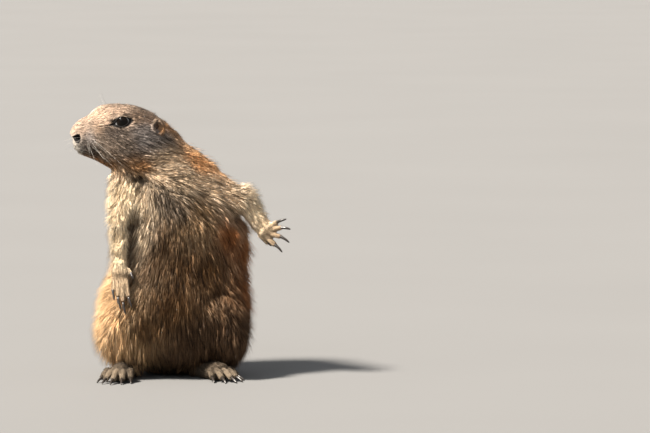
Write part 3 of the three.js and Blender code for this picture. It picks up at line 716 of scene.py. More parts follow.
def skin_detail(points):
    """How bare each place is, and how dark: eyelids, nostrils, lips and ears, in dark skin and
    painted shade.
    """
    folded, _ = head_sides(points)
    bare = np.zeros(len(points))
    dark = np.zeros(len(points))
    for side in (NEAR, FAR):
        ahead, above, outward = eye_view(points, side)
        beside = (outward > -2) & (np.hypot(ahead, above) < 13)
        # the lids' dark skin, with painted shade under the brow and in the duct's groove
        outside = -depth_in(ahead, above, EYE_DARK)
        bare = np.maximum(bare, fade(outside, 0.0, 0.6) * beside)
        dark = np.maximum(dark, fade(outside, 0.2, 1.7) * beside)
    x, z = points[:, 0], points[:, 2]
    # the nose's and lips' dark skin, with painted shade in the nostrils and along the mouth's
    # groove
    nose = fade(-depth_in(x, z, NOSTRIL), 0.1, 0.5) * (folded[:, 1] < 12) * (folded[:, 1] > 0.8)
    mouth = fade(from_line(x, z, MOUTH), 0.25, 0.7) * (folded[:, 1] < 14)
    # the ear's opening is not carved: a slit of painted shade stands in for it
    slit = fade(from_line(x, z, EAR_SLIT), EAR_SLIT_HALF, EAR_SLIT_HALF * 1.8)
    slit *= (folded[:, 1] > 14) * (folded[:, 1] < 27)
    bare = np.maximum(bare, np.maximum(nose, mouth))
    dark = np.maximum(dark, np.maximum(np.maximum(nose, mouth * 0.8), slit * 0.9))
    bare = np.maximum(bare, slit * 0.8)
    return bare, dark


DEPTH_SHARE = 0.8                   # how much of a lock's height the skin makes room for
DEPTH_LIFT = math.radians(24)       # hair that stands up more than this makes the fringe
LEDGES = [                          # wrists and knuckles, where the forms run together
    ((-38.2, -33, 83), 9.0, 0.50), ((-37.6, -36, 73), 7.0, 0.35),
    ((65.5, -16, 106.5), 9.0, 0.50),
]
EASING = 0.5                        # how far each round moves the body's skin
PAW_EASING = 0.07
EAR_SOFTENING = 0.24
EAR_COAT_DEPTH = 0.2
STEEP_LEDGE = 0.25                  # ledges this strong are eased for longer
FACE_REACH = 11                     # the finer skin round eyes and nose
FLOOR_ROOM = 0.3


def refine_face(mesh):
    """Takes stray bubbles away, and cuts the skin finer round eyes, nose and mouth."""
    made = bmesh.new()
    made.from_mesh(mesh)
    largest_island(made)
    spots = [metres((EYE_X, HEAD_Y + side * (EYE_OUT + 5), EYE_Z)) for side in (NEAR, FAR)]
    spots.append(metres((NOSE_X + 7, HEAD_Y, 168)))
    spots = [Vector(spot) for spot in spots]
    fine = [
        face for face in made.faces
        if min((face.calc_center_median() - spot).length for spot in spots) < FACE_REACH * MM
    ]
    edges = {edge for face in fine for edge in face.edges}
    bmesh.ops.subdivide_edges(made, edges=list(edges), cuts=1, use_grid_fill=True)
    made.to_mesh(mesh)
    made.free()


def normals_of(mesh, points):
    mesh.vertices.foreach_set("co", metres(points).astype(np.float32).ravel())
    mesh.update()
    return read(mesh.vertex_normals, "vector", 3).astype(float)


def eased(points, edges, owner):
    """The flesh with its edges eased: fully on the body, hardly on paws and ears."""
    thin = among(owner, PAWS + EARS)
    ledge = among(owner, EARS) * EAR_SOFTENING
    for place, reach, strength in LEDGES:
        near = fade(np.linalg.norm(points - place, axis=1), reach * 0.5, reach)
        ledge = np.maximum(ledge, near * strength)
    thin_easing = np.maximum(PAW_EASING, ledge)
    points = relax(points, edges, np.where(thin, thin_easing, EASING), 30)
    steep = np.where(ledge > STEEP_LEDGE, ledge, 0)
    return relax(points, edges, np.where(thin, steep, EASING), 60)


def coat_depth(points, edges, owner):
    """How far the skin lies under the outline of the coat."""
    coat = coat_at(points, owner)
    depth = coat["length"] * np.sin(np.minimum(coat["lift"], DEPTH_LIFT)) * DEPTH_SHARE
    depth[among(owner, PAWS)] = 0
    depth[among(owner, EARS)] = EAR_COAT_DEPTH
    depth += in_fold(points) * FOLD_DEEP
    off_flank = np.linalg.norm((points - FLANK_PLACE) / FLANK_REACH, axis=1)
    depth -= fade(off_flank, 0.2, 1.0) * FLANK_FULLER
    depth = np.repeat(depth[:, None], 3, 1)
    return relax(depth, edges, np.full(len(points), EASING), 12)[:, :1]


def skin_mesh(owners):
    """One skin over all the flesh, with its lids, nostrils and mouth."""
    grain = {"mode": "VOXEL", "voxel_size": VOXEL * MM}
    mesh = finished_mesh(joined_flesh(), "skin", ("REMESH", grain))
    refine_face(mesh)
    points = body_mm(read(mesh.vertices, "co", 3))
    edges = read(mesh.edges, "vertices", 2, np.int32)
    owner = owners.of(points)
    points = eased(points, edges, owner)
    points = points - normals_of(mesh, points) * coat_depth(points, edges, owner)
    for side in (NEAR, FAR):
        points = lay_lids(points, side)
        points = carve_muzzle(points, side)
    points[:, 2] = np.maximum(points[:, 2], FLOOR_ROOM)
    normals_of(mesh, points)
    face = among(owner, HEAD + EARS + PAWS)
    mesh.calc_loop_triangles()
    ratio = min(1, SKIN_TRIANGLES / len(mesh.loop_triangles))
    thinning = {"ratio": ratio, "vertex_group": "weights", "use_collapse_triangulate": True}
    return with_modifiers(mesh, "skin", ("DECIMATE", thinning), weights=np.where(face, 0.0, 1.0))


# Locks of fur

Lock = namedtuple("Lock", "around height triangles map")


def lock_shape(sides, waists):
    """One lock on its own: a closed slender cone from 0 at its root to 1 at its tip."""
    made = bmesh.new()
    stand = Matrix.Translation((0, 0, 0.5))
    bmesh.ops.create_cone(
        made, cap_ends=True, segments=sides, radius1=1, radius2=0, depth=1, matrix=stand)
    bmesh.ops.remove_doubles(made, verts=made.verts, dist=1e-4)
    for height in waists:
        whole = made.verts[:] + made.edges[:] + made.faces[:]
        bmesh.ops.bisect_plane(made, geom=whole, plane_co=(0, 0, height), plane_no=(0, 0, 1))
    bmesh.ops.triangulate(made, faces=made.faces)
    made.verts.index_update()
    height = np.array([vert.co.z for vert in made.verts])
    around = np.array([vert.co[:2] for vert in made.verts])
    swell = 0.7 + 1.3 * height
    triangles = np.array([[vert.index for vert in face.verts] for face in made.faces])
    flat_map = np.array([lock_map(face) for face in made.faces])
    made.free()
    return Lock(around * swell[:, None], height, triangles, flat_map)


def lock_map(face):
    """Corners of a lock's face on its own square patch: round the lock, and along it."""
    middle = face.calc_center_median()
    turn = math.atan2(middle.y, middle.x)
    corners = []
    for vert in face.verts:
        off_axis = math.hypot(vert.co.x, vert.co.y)
        step = math.atan2(vert.co.y, vert.co.x) - turn if off_axis > 1e-3 else 0
        step = (step + math.pi) % (2 * math.pi) - math.pi
        corners.append(((turn + step) / (2 * math.pi) + 0.5, vert.co.z))
    return corners


WAIST = 0.42                        # where a long lock bends, as a share of its length
LONG_LOCK = lock_shape(3, [WAIST])
SHORT_LOCK = lock_shape(3, [])
WHISKER = lock_shape(4, [0.2, 0.4, 0.6, 0.8])
PATCH = 0.003                       # a lock's share of the coat's map


def bend(curve, height):
    """Points along curves that each have a start, a pull and an end."""
    start, pull, end = (points[:, None] for points in curve)
    t = height[None, :, None]
    return (1 - t) ** 2 * start + 2 * t * (1 - t) * pull + t**2 * end


def locks_along(lock, curve, half_width, across, above, flatness):
    """All corners of all locks: (number of locks, corners of one, 3)."""
    spine = bend(curve, lock.height)
    wide = lock.around[None, :, :1] * across[:, None]
    thick = lock.around[None, :, 1:] * above[:, None] * flatness
    return spine + (wide + thick) * half_width[:, None, None]


def joined_mesh(name, lock, corners, colours, map_places):
    """One mesh of many locks, with their colours and their map."""
    count, each = corners.shape[:2]
    starts = (np.arange(count) * each)[:, None, None]
    triangles = (lock.triangles[None] + starts).reshape(-1, 3)
    mesh = bpy.data.meshes.new(name)
    mesh.vertices.add(count * each)
    mesh.vertices.foreach_set("co", metres(corners.reshape(-1, 3)).astype(np.float32).ravel())
    mesh.loops.add(triangles.size)
    mesh.loops.foreach_set("vertex_index", triangles.astype(np.int32).ravel())
    mesh.polygons.add(len(triangles))
    mesh.polygons.foreach_set("loop_start", np.arange(0, triangles.size, 3, dtype=np.int32))
    mesh.update(calc_edges=True)
    flat = mesh.uv_layers.new(name="OFBake")
    patches = map_places[:, None, None, :] + lock.map[None] * PATCH
    flat.data.foreach_set("uv", patches.astype(np.float32).ravel())
    tint_mesh(mesh, colours.reshape(-1, 3))
    mesh.shade_smooth()
    return mesh


def tint_mesh(mesh, colours):
    pelt = mesh.attributes.new("pelt", "FLOAT_COLOR", "POINT")
    shades = np.column_stack([colours, np.ones(len(colours))])
    pelt.data.foreach_set("color", shades.astype(np.float32).ravel())


# The coat

COAT_SHARE = 1.0
Roots = namedtuple("Roots", "place normal owner hollow")
# density counts locks for each square millimetre, strand how many of them draw together,
# reach is a strand's length against its width, and uneven how much strands differ
Cover = namedtuple("Cover", "nodes density half_width lock root_shade strand reach uneven")
COVERS = {
    "head": Cover(HEAD, 7.0, 0.19, SHORT_LOCK, 0.70, 9, 3.2, 0.56),
    "ears": Cover(EARS, 8.0, 0.15, SHORT_LOCK, 0.80, 8, 3.0, 0.30),
    "paws": Cover(PAWS, 6.0, 0.16, SHORT_LOCK, 0.75, 10, 3.2, 0.26),
    "torso": Cover(TORSO, 2.18, 0.23, LONG_LOCK, 0.66, 9, 5.5, 0.18),
    "arms": Cover(ARMS, 3.4, 0.20, LONG_LOCK, 0.90, 10, 4.5, 0.20),
    "tail": Cover(["tail"], 2.8, 0.25, LONG_LOCK, 0.50, 12, 5.5, 0.26),
}
WAVES = [(22, 0.10), (6, 0.05)]     # how the flow wanders: wavelength and strength
STRAY = 0.06                        # and each lock's own way
ROOT_SINK = 0.35                    # how deep a long lock starts under the skin
ROOT_SINK_SHARE = 0.06              # and a short one, as a share of its length
STRAND_CHOICE = 16                  # leaders that a lock chooses from
STRAND_PULL = 0.85
WISP_SHARE = 0.04                   # strands that stand out from the coat
WISP_FROM = 20                      # and more of them where it lifts above this
WISP_MORE = 0.045
WISP_LONG = 1.35
WISP_LIFT = 1.55
WISP_MOST = math.radians(54)
DARK_SHADE = 0.28                   # dark hairs against the coat's own tone
PALE_POWER = 0.70                   # pale hairs: the tone's values to this power
PALED = 0.6                         # how far pale hairs go towards that
TIP_PALING = 0.34                   # and the tips of the others
BRIGHTEST = 0.93                    # no hair's tone is brighter, so that none loses its hue
FLOOR_CLEARANCE = 0.15
BARE_BELOW = 0.8                    # no hair grows on the flats that touch the floor
BARER = 1.6                         # skin counts as bare before it is fully so
COAT_SEED = 42
LENGTH_SPREAD = (0.72, 1.15)        # how much hairs differ from the coat's own measures
LIFT_SPREAD = (0.6, 1.4)
WIDTH_SPREAD = (0.75, 1.2)
BRIGHT_SPREAD = (0.80, 1.20)
LOCK_FLATNESS = 0.55

HOLLOW_ROUNDS = 16
HOLLOW_DEPTH = 0.42                 # a hollow this deep counts in full
HOLLOW_PAINTED_SHADE = 0.75                 # painted shade darkens the hollows between the toes
HOLLOW_ELSEWHERE = 0.3              # and less so those of the body


def hollows(mesh, owners):
    """How hollow the skin is at each vertex, 0 to 1: how much shade is painted there."""
    points = body_mm(read(mesh.vertices, "co", 3))
    edges = read(mesh.edges, "vertices", 2, np.int32)
    eased = relax(points, edges, np.full(len(points), 0.5), HOLLOW_ROUNDS)
    rise = ((eased - points) * read(mesh.vertex_normals, "vector", 3)).sum(1)
    share = np.where(among(owners.of(points), PAWS), 1, HOLLOW_ELSEWHERE)
    return np.clip(rise / HOLLOW_DEPTH, 0, 1) * share


def by_cover(owners, field):
    """A value of its part's cover for each root."""
    values = np.zeros(len(owners))
    for cover in COVERS.values():
        values[among(owners, cover.nodes)] = getattr(cover, field)
    return values


def scattered(mesh, owners, hollow, random):
    """Roots spread evenly over the bare skin, as densely as each part's cover says."""
    points = body_mm(read(mesh.vertices, "co", 3))
    normals = read(mesh.vertex_normals, "vector", 3).astype(float)
    mesh.calc_loop_triangles()
    triangles = read(mesh.loop_triangles, "vertices", 3, np.int32)
    corner = points[triangles]
    middle = corner.mean(1)
    owner = owners.of(middle)
    density = by_cover(owner, "density")
    hidden, _ = skin_detail(middle)
    density *= 1 - np.minimum(hidden * BARER, 1)
    density[middle[:, 2] < BARE_BELOW] = 0
    wanted = triangle_areas(corner) * density * COAT_SHARE
    counts = np.floor(wanted + random.random(len(wanted))).astype(int)
    picked, a, b = spots_in(counts, random)
    place = corner[picked, 0] * (1 - a - b) + corner[picked, 1] * a + corner[picked, 2] * b
    ends = normals[triangles[picked]]
    normal = unit(ends[:, 0] * (1 - a - b) + ends[:, 1] * a + ends[:, 2] * b)
    return Roots(place, normal, owner[picked], hollow[triangles[picked]].mean(1))


def ripple(points, wavelength, random, waves=7):
    """A smooth uneven field between about -1 and 1, three values for each point."""
    total = np.zeros((len(points), 3))
    for _ in range(waves):
        direction = unit(random.normal(size=3)) * 2 * np.pi
        direction = direction / (wavelength * random.uniform(0.7, 1.4))
        phase = random.uniform(0, 2 * np.pi, 3)
        total += np.sin((points @ direction)[:, None] + phase)
    return total / math.sqrt(waves)


def along_skin(flow, normal):
    return unit(flow - (flow * normal).sum(1, keepdims=True) * normal)


def flow_over(roots, coat, random):
    """The way every lock lies: the combed flow with slow and quick wandering."""
    flow = unit(coat["flow"])
    for wavelength, strength in WAVES:
        flow = flow + strength * ripple(roots.place, wavelength, random)
    return along_skin(flow, roots.normal)


def strands_of(roots, flow, random):
    """Every lock joins the nearest leader, where nearness reaches far along the flow."""
    chance = 1 / by_cover(roots.owner, "strand")
    count = int(chance.sum())
    leaders = random.choice(len(chance), count, replace=False, p=chance / chance.sum())
    tree = KDTree(len(leaders))
    for index, leader in enumerate(leaders):
        tree.insert(roots.place[leader], index)
    tree.balance()
    near = np.array([
        [found[1] for found in tree.find_n(place, STRAND_CHOICE)] for place in roots.place
    ])
    gap = roots.place[:, None] - roots.place[leaders[near]]
    along = (gap * flow[leaders[near]]).sum(2)
    reach = by_cover(roots.owner, "reach")[:, None]
    square = (gap**2).sum(2) - along**2 * (1 - reach**-2)
    strand = near[np.arange(len(near)), square.argmin(1)]
    return strand, leaders[strand]


def grown_curves(roots, coat, flow, clump, random):
    """Each lock leaves the skin along the flow, lifts, and lies down again at its tip."""
    flow = along_skin(flow + random.normal(scale=STRAY, size=flow.shape), roots.normal)
    count = len(flow)
    length = coat["length"] * random.uniform(*LENGTH_SPREAD, count)
    lift = coat["lift"] * random.uniform(*LIFT_SPREAD, count)
    raised = WISP_SHARE + WISP_MORE * np.clip(np.degrees(coat["lift"]) - WISP_FROM, 0, 20)
    wisp = random.random(clump.max() + 1)[clump] < raised
    length = np.where(wisp, length * WISP_LONG, length)[:, None]
    lift = np.where(wisp, np.minimum(lift * WISP_LIFT, WISP_MOST), lift)[:, None]
    rising = np.cos(lift * 1.4) * flow + np.sin(lift * 1.4) * roots.normal
    lying = np.cos(lift * 0.5) * flow + np.sin(lift * 0.5) * roots.normal
    start = roots.place - roots.normal * np.minimum(ROOT_SINK, length * ROOT_SINK_SHARE)
    pull = start + rising * length * 0.5
    end = pull + lying * length * 0.5
    return [start, pull, end]


def drawn_together(curve, leader, across):
    """The locks of a strand close in sideways on its leader towards their tips."""
    start, pull, end = curve
    way = across[leader]
    aside = ((start[leader] - start) * way).sum(1, keepdims=True) * way
    return [start, pull + aside * STRAND_PULL * 0.35, end + aside * STRAND_PULL]


def hair_colours(coat, clump, cover, random):
    """Dark at the root, the coat's tone in the middle, paler at the tip, uneven by strand."""
    clumps = clump.max() + 1
    bright = np.exp(cover.uneven * np.clip(random.normal(size=clumps), -2, 2))[clump]
    bright *= random.uniform(*BRIGHT_SPREAD, len(clump))
    chance = random.random(clumps)[clump] + random.normal(scale=0.2, size=len(clump))
    darkened = (chance < coat["dark"])[:, None]
    paled = (chance > 1 - coat["pale"])[:, None]
    bright = np.minimum(bright, BRIGHTEST / coat["colour"].max(1))
    tone = coat["colour"] * bright[:, None]
    pale = tone**PALE_POWER
    base = np.where(darkened, tone * DARK_SHADE, np.where(paled, mix(tone, pale, PALED), tone))
    tip = np.where(darkened, base, mix(base, pale, TIP_PALING))
    share = cover.lock.height[None, :, None]
    lower = mix(base[:, None] * cover.root_shade, base[:, None], np.clip(share / WAIST, 0, 1))
    upper_share = np.clip((share - WAIST) / (1 - WAIST), 0, 1)
    return np.clip(mix(lower, tip[:, None], upper_share), 0, 0.95)


LIMB_AXES = {
    "upper_arm_left": ((20, -6, 133), (48, -11, 127)),
    "forearm_left": ((48, -11, 127), (65, -15, 107)),
    "upper_arm_right": ((-34, -12, 138), (-39, -27, 112)),
    "forearm_right": ((-39, -27, 112), (-38, -30, 85)),
    "hand_left": ((65, -15, 107), (83, -25, 102)),
    "hand_right": ((-38, -30, 85), (-36, -41, 50)),
    "foot_left": ((14, -8, 6), (41, -46, 6)),
    "foot_right": ((-31, -10, 6), (-42, -56, 6)),
}
ACROSS_ALL = (0.5, 0.1, 0.8)        # a way that no limb runs along


def unrolled_limb(points, start, end):
    """The turn round a limb's axis, from 0 to 1, and the share of the way along it."""
    start, end = np.array(start, float), np.array(end, float)
    axis = unit(end - start)
    side = unit(np.cross(axis, ACROSS_ALL))
    offset = points - start
    turn = np.arctan2(offset @ side, offset @ np.cross(side, axis)) / (2 * np.pi) + 0.5
    return np.column_stack([turn, offset @ axis / np.linalg.norm(end - start)])


def unrolled(points, owners, cover):
    """Places on a part's own skin, unrolled: the turn round its long axis, and along it."""
    if cover in ("head", "ears"):
        turn = np.arctan2(points[:, 1] - HEAD_Y, points[:, 2] - 172)
        return np.column_stack([turn, points[:, 0]])
    if cover == "tail":
        return np.column_stack([np.arctan2(points[:, 0] - 1, points[:, 2] - 10), points[:, 1]])
    if cover == "torso":
        return np.column_stack([np.arctan2(points[:, 0], 2 - points[:, 1]), points[:, 2]])
    places = np.zeros((len(points), 2))
    for column, node in enumerate(COVERS[cover].nodes):
        chosen = among(owners, [node])
        places[chosen] = unrolled_limb(points[chosen], *LIMB_AXES[node])
        places[chosen, 0] = column + 0.03 + 0.94 * places[chosen, 0]
    return places


MAP_EDGE = 0.006
MOST_TRIANGLES = 196000


def on_map(places):
    low, high = places.min(0), places.max(0)
    return MAP_EDGE + (places - low) / (high - low) * (1 - 2 * MAP_EDGE - PATCH)


def grow_coat(mesh, owners, hollow):
    """The whole coat, as pieces that each cover a sector of a part of the body."""
    random = np.random.default_rng(COAT_SEED)
    roots = scattered(mesh, owners, hollow, random)
    coat = coat_at(roots.place, roots.owner)
    # painted shade in the skin's hollows, strongest between the toes
    coat["colour"] *= (1 - HOLLOW_PAINTED_SHADE * roots.hollow)[:, None]
    flow = flow_over(roots, coat, random)
    across = unit(np.cross(flow, roots.normal))
    clump, leader = strands_of(roots, flow, random)
    curve = grown_curves(roots, coat, flow, clump, random)
    curve = drawn_together(curve, leader, across)
    pieces = []
    for name, cover in COVERS.items():
        chosen = np.flatnonzero(among(roots.owner, cover.nodes))
        places = unrolled(roots.place[chosen], roots.owner[chosen], name)
        order = chosen[np.argsort(places[:, 0], kind="stable")]
        most = MOST_TRIANGLES // len(cover.lock.triangles)
        sectors = np.array_split(order, math.ceil(len(order) / most))
        for number, sector in enumerate(sectors, 1):
            label = f"coat_{name}_{number}" if len(sectors) > 1 else f"coat_{name}"
            width = cover.half_width * random.uniform(*WIDTH_SPREAD, len(sector))
            corners = locks_along(
                cover.lock, [points[sector] for points in curve], width / math.sqrt(COAT_SHARE),
                across[sector], roots.normal[sector], LOCK_FLATNESS)
            corners[:, :, 2] = np.maximum(corners[:, :, 2], FLOOR_CLEARANCE)
            part = {key: values[sector] for key, values in coat.items()}
            colours = hair_colours(part, clump[sector], cover, random)
            places = on_map(unrolled(roots.place[sector], roots.owner[sector], name))
            pieces.append((name, joined_mesh(label, cover.lock, corners, colours, places)))
    return pieces


# Materials

def link_all(tree, *pairs):
    for source, target in pairs:
        tree.links.new(source, target)


def add_node(tree, kind, **inputs):
    made = tree.nodes.new("ShaderNode" + kind)
    for name, value in inputs.items():
        made.inputs[name].default_value = value
    return made


def add_ramp(tree, *stops):
    """A colour ramp, with its stops given in order as (position, colour)."""
    ramp = add_node(tree, "ValToRGB")
    elements = ramp.color_ramp.elements
    while len(elements) < len(stops):
        elements.new(0.5)
    for element, (position, colour) in zip(elements, stops):
        element.position = position
        element.color = (*colour, 1)
    return ramp


def add_attribute(tree, name):
    made = add_node(tree, "Attribute")
    made.attribute_name = name
    return made


def add_bump(tree, shader, height, strength, distance):
    bump = add_node(tree, "Bump", Strength=strength, Distance=distance)
    link_all(
        tree,
        (height, bump.inputs["Height"]),
        (bump.outputs["Normal"], shader.inputs["Normal"]),
    )


def grain_group():
    """Small unevenness of colour and height, shared by skin and coat."""
    tree = bpy.data.node_groups.new("coat_grain", "ShaderNodeTree")
    for name, way, kind in (
        ("Colour", "INPUT", "NodeSocketColor"),
        ("Scale", "INPUT", "NodeSocketFloat"),
        ("Unevenness", "INPUT", "NodeSocketFloat"),
        ("Colour", "OUTPUT", "NodeSocketColor"),
        ("Height", "OUTPUT", "NodeSocketFloat"),
    ):
        tree.interface.new_socket(name, in_out=way, socket_type=kind)
    given = tree.nodes.new("NodeGroupInput")
    result = tree.nodes.new("NodeGroupOutput")
    place = add_node(tree, "TexCoord")
    noise = add_node(tree, "TexNoise", Detail=3)
    centred = add_node(tree, "Math")
    centred.operation = "SUBTRACT"
    centred.inputs[1].default_value = 0.5
    scaled = add_node(tree, "Math")
    scaled.operation = "MULTIPLY_ADD"
    scaled.inputs[2].default_value = 1
    tinted = add_node(tree, "VectorMath")
    tinted.operation = "SCALE"
    link_all(
        tree,
        (place.outputs["Object"], noise.inputs["Vector"]),
        (given.outputs["Scale"], noise.inputs["Scale"]),
        (noise.outputs["Fac"], centred.inputs[0]),
        (centred.outputs[0], scaled.inputs[0]),
        (given.outputs["Unevenness"], scaled.inputs[1]),
        (given.outputs["Colour"], tinted.inputs[0]),
        (scaled.outputs[0], tinted.inputs["Scale"]),
        (tinted.outputs[0], result.inputs["Colour"]),
        (noise.outputs["Fac"], result.inputs["Height"]),
    )
    return tree


def new_material(name, **settings):
    material = bpy.data.materials.new(name)
    material.use_nodes = True
    shader = material.node_tree.nodes["Principled BSDF"]
    for key, value in settings.items():
        shader.inputs[key.replace("_", " ")].default_value = value
    return material, material.node_tree, shader


def pelt_material(name, grain, scale, unevenness, bump, **settings):
    """Skin or fur in the pelt's own markings, with a fine grain."""
    material, tree, shader = new_material(name, **settings)
    pelt = add_attribute(tree, "pelt")
    fine = add_node(tree, "Group")
    fine.node_tree = grain
    fine.inputs["Scale"].default_value = scale
    fine.inputs["Unevenness"].default_value = unevenness
    link_all(
        tree,
        (pelt.outputs["Color"], fine.inputs["Colour"]),
        (fine.outputs["Colour"], shader.inputs["Base Color"]),
    )
    if bump:
        add_bump(tree, shader, fine.outputs["Height"], 0.7, bump)
    return material


def eye_material():
    """A wet dark eye, with a trace of brown iris and a pale rim that the lids mostly hide."""
    material, tree, shader = new_material("dark_eye", Roughness=0.09, Specular_IOR_Level=0.15)
    iris = add_attribute(tree, "iris")
    pupil, brown, pale = (0.001, 0.001, 0.001), (0.006, 0.0035, 0.002), (1.0, 1.0, 1.0)
    ramp = add_ramp(tree, (0.0, pupil), (0.55, brown), (1.0, pale))
    link_all(
        tree,
        (iris.outputs["Fac"], ramp.inputs["Fac"]),
        (ramp.outputs["Color"], shader.inputs["Base Color"]),
    )
    return material


def clouded(tree, shader, scale, *stops):
    """A soft uneven colour between the stops, and the noise that makes it."""
    place = add_node(tree, "TexCoord")
    noise = add_node(tree, "TexNoise", Scale=scale)
    ramp = add_ramp(tree, *stops)
    link_all(
        tree,
        (place.outputs["Object"], noise.inputs["Vector"]),
        (noise.outputs["Fac"], ramp.inputs["Fac"]),
        (ramp.outputs["Color"], shader.inputs["Base Color"]),
    )
    return noise


def horn_material():
    """Dark claws, a little streaked."""
    material, tree, shader = new_material("horn", Roughness=0.3)
    dark, worn = (0.006, 0.005, 0.005), (0.032, 0.025, 0.020)
    noise = clouded(tree, shader, 700, (0.0, dark), (0.8, worn))
    add_bump(tree, shader, noise.outputs["Fac"], 0.3, 0.00008)
    return material


def floor_material():
    material, tree, shader = new_material("pale_floor", Roughness=0.85)
    clouded(tree, shader, 3, (0.0, (0.122, 0.121, 0.119)), (1.0, (0.133, 0.132, 0.130)))
    return material


# Pieces

def add_piece(name, mesh, material, replaced=()):
    piece = bpy.data.objects.new(name, mesh)
    bpy.context.scene.collection.objects.link(piece)
    mesh.materials.clear()
    mesh.materials.append(material)
    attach(piece, "root")
    if replaced:
        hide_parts(*replaced)
    return piece


# near black: the dark skin of lids, nose and lips, also the painted shade of their openings
DARK_SKIN_AND_SHADE = np.array((0.0045, 0.0035, 0.0032))
UNDERCOAT = 0.75                    # the skin under the coat is this much darker


def tint_skin(mesh, owners, hollow):
    points = body_mm(read(mesh.vertices, "co", 3))
    owner = owners.of(points)
    coat = coat_at(points, owner)
    _, dark = skin_detail(points)
    colours = mix(coat["colour"] * UNDERCOAT, DARK_SKIN_AND_SHADE, dark[:, None])
    # the skin carries the same painted shade in its hollows
    tint_mesh(mesh, colours * (1 - HOLLOW_PAINTED_SHADE * hollow)[:, None])


CORNEA_BULGE = 0.25
CORNEA_FROM = 0.6                   # it starts where the ball faces outwards this much
IRIS_TURN = math.radians(75)        # from the pole to the rim of the iris


def make_eye(node, side, material):
    """A smooth eyeball with the cornea's slight bulge, its pole facing outwards."""
    low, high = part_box(node)
    shift = Vector((EYE_X - SOCKET_X, 0, EYE_Z - SOCKET_Z)) * MM
    centre = (low + high) / 2 + shift
    made = bmesh.new()
    bmesh.ops.create_uvsphere(made, u_segments=48, v_segments=32, radius=EYE_RADIUS * MM)
    turn = Matrix.Rotation(math.radians(-90 * side), 3, "X")
    bmesh.ops.rotate(made, verts=made.verts, matrix=turn)
    outward = Vector((0, side, 0))
    iris = []
    for vert in made.verts:
        facing = vert.co.normalized().dot(outward)
        bulge = max(facing - CORNEA_FROM, 0) / (1 - CORNEA_FROM)
        vert.co += vert.co.normalized() * CORNEA_BULGE * MM * bulge
        iris.append(min(math.acos(max(min(facing, 1), -1)) / IRIS_TURN, 1))
    bmesh.ops.translate(made, verts=made.verts, vec=centre)
    mesh = bpy.data.meshes.new(node + "_ball")
    made.to_mesh(mesh)
    made.free()
    mesh.attributes.new("iris", "FLOAT", "POINT").data.foreach_set("value", iris)
    mesh.shade_smooth()
    add_piece(node + "_ball", mesh, material, [node])


CLAW_SWELL = 0.32                   # rounding off thins the claws, so they swell first
CLAW_ROOT = 1.6                     # how far a claw reaches into its digit


def make_claw(node, material):
    """A claw rounded off, with its root pushed into the flesh of its digit."""
    made = closed_copy(node)
    bmesh.ops.dissolve_limit(made, angle_limit=0.02, verts=made.verts, edges=made.edges)
    for vert in made.verts:
        vert.co += vert.normal * CLAW_SWELL * MM
    root = max(made.faces, key=lambda face: face.calc_area())
    inward = root.normal.copy()
    pushed = bmesh.ops.extrude_discrete_faces(made, faces=[root])["faces"]
    bmesh.ops.translate(made, verts=pushed[0].verts, vec=inward * CLAW_ROOT * MM)
    smooth = {"levels": 2, "render_levels": 2}
    mesh = finished_mesh(made, node + "_horn", ("SUBSURF", smooth))
    mesh.shade_smooth()
    add_piece(node + "_horn", mesh, material, [node])


WHISKER_ROWS = [                    # place in profile, how many, and their length
    ((-66.5, 172.5), 4, 34),
    ((-65.0, 170.0), 5, 38),
    ((-64.0, 167.5), 5, 36),
    ((-64.0, 165.0), 4, 30),
]
WHISKER_STEP = (1.9, 0.3)           # from one to the next of its row
BROW_WHISKER = (-50, 192)
WHISKER_HALF = 0.055
WHISKER_SEED = 7
BESIDE_HEAD = 30                    # whiskers are first placed this far to its side
PALE_WHISKER = 0.55
DARK_WHISKER = 0.06


def whisker_ways(random):
    """Places beside the head, ways and lengths of all whiskers."""
    starts, ways, lengths = [], [], []
    for side in (NEAR, FAR):
        beside = HEAD_Y + side * BESIDE_HEAD
        for (x, z), count, length in WHISKER_ROWS:
            for step in range(count):
                starts.append((x + step * WHISKER_STEP[0], beside, z + step * WHISKER_STEP[1]))
                back = step / count
                aside = side * mix(0.75, 0.5, back)
                ways.append((mix(-0.55, 0.75, back), aside, mix(0.05, -0.45, back)))
                lengths.append(length * random.uniform(0.6, 1.0))
        for step in range(2):
            starts.append((BROW_WHISKER[0] + step * 2.0, beside, BROW_WHISKER[1] - step))
            ways.append((-0.45, side * 0.35, 0.9))
            lengths.append(15 + 4 * step)
    return np.array(starts), unit(np.array(ways)), np.array(lengths)[:, None]


def whisker_roots(skin, starts):
    """Where each whisker meets the skin, straight in from its place beside the head."""
    tree = BVHTree.FromObject(skin, bpy.context.evaluated_depsgraph_get())
    roots = []
    for place in starts:
        side = np.sign(place[1] - HEAD_Y)
        hit = tree.ray_cast(Vector(metres(place)), Vector((0, -side, 0)))[0]
        roots.append(body_mm(hit) if hit else place)
    return np.array(roots)


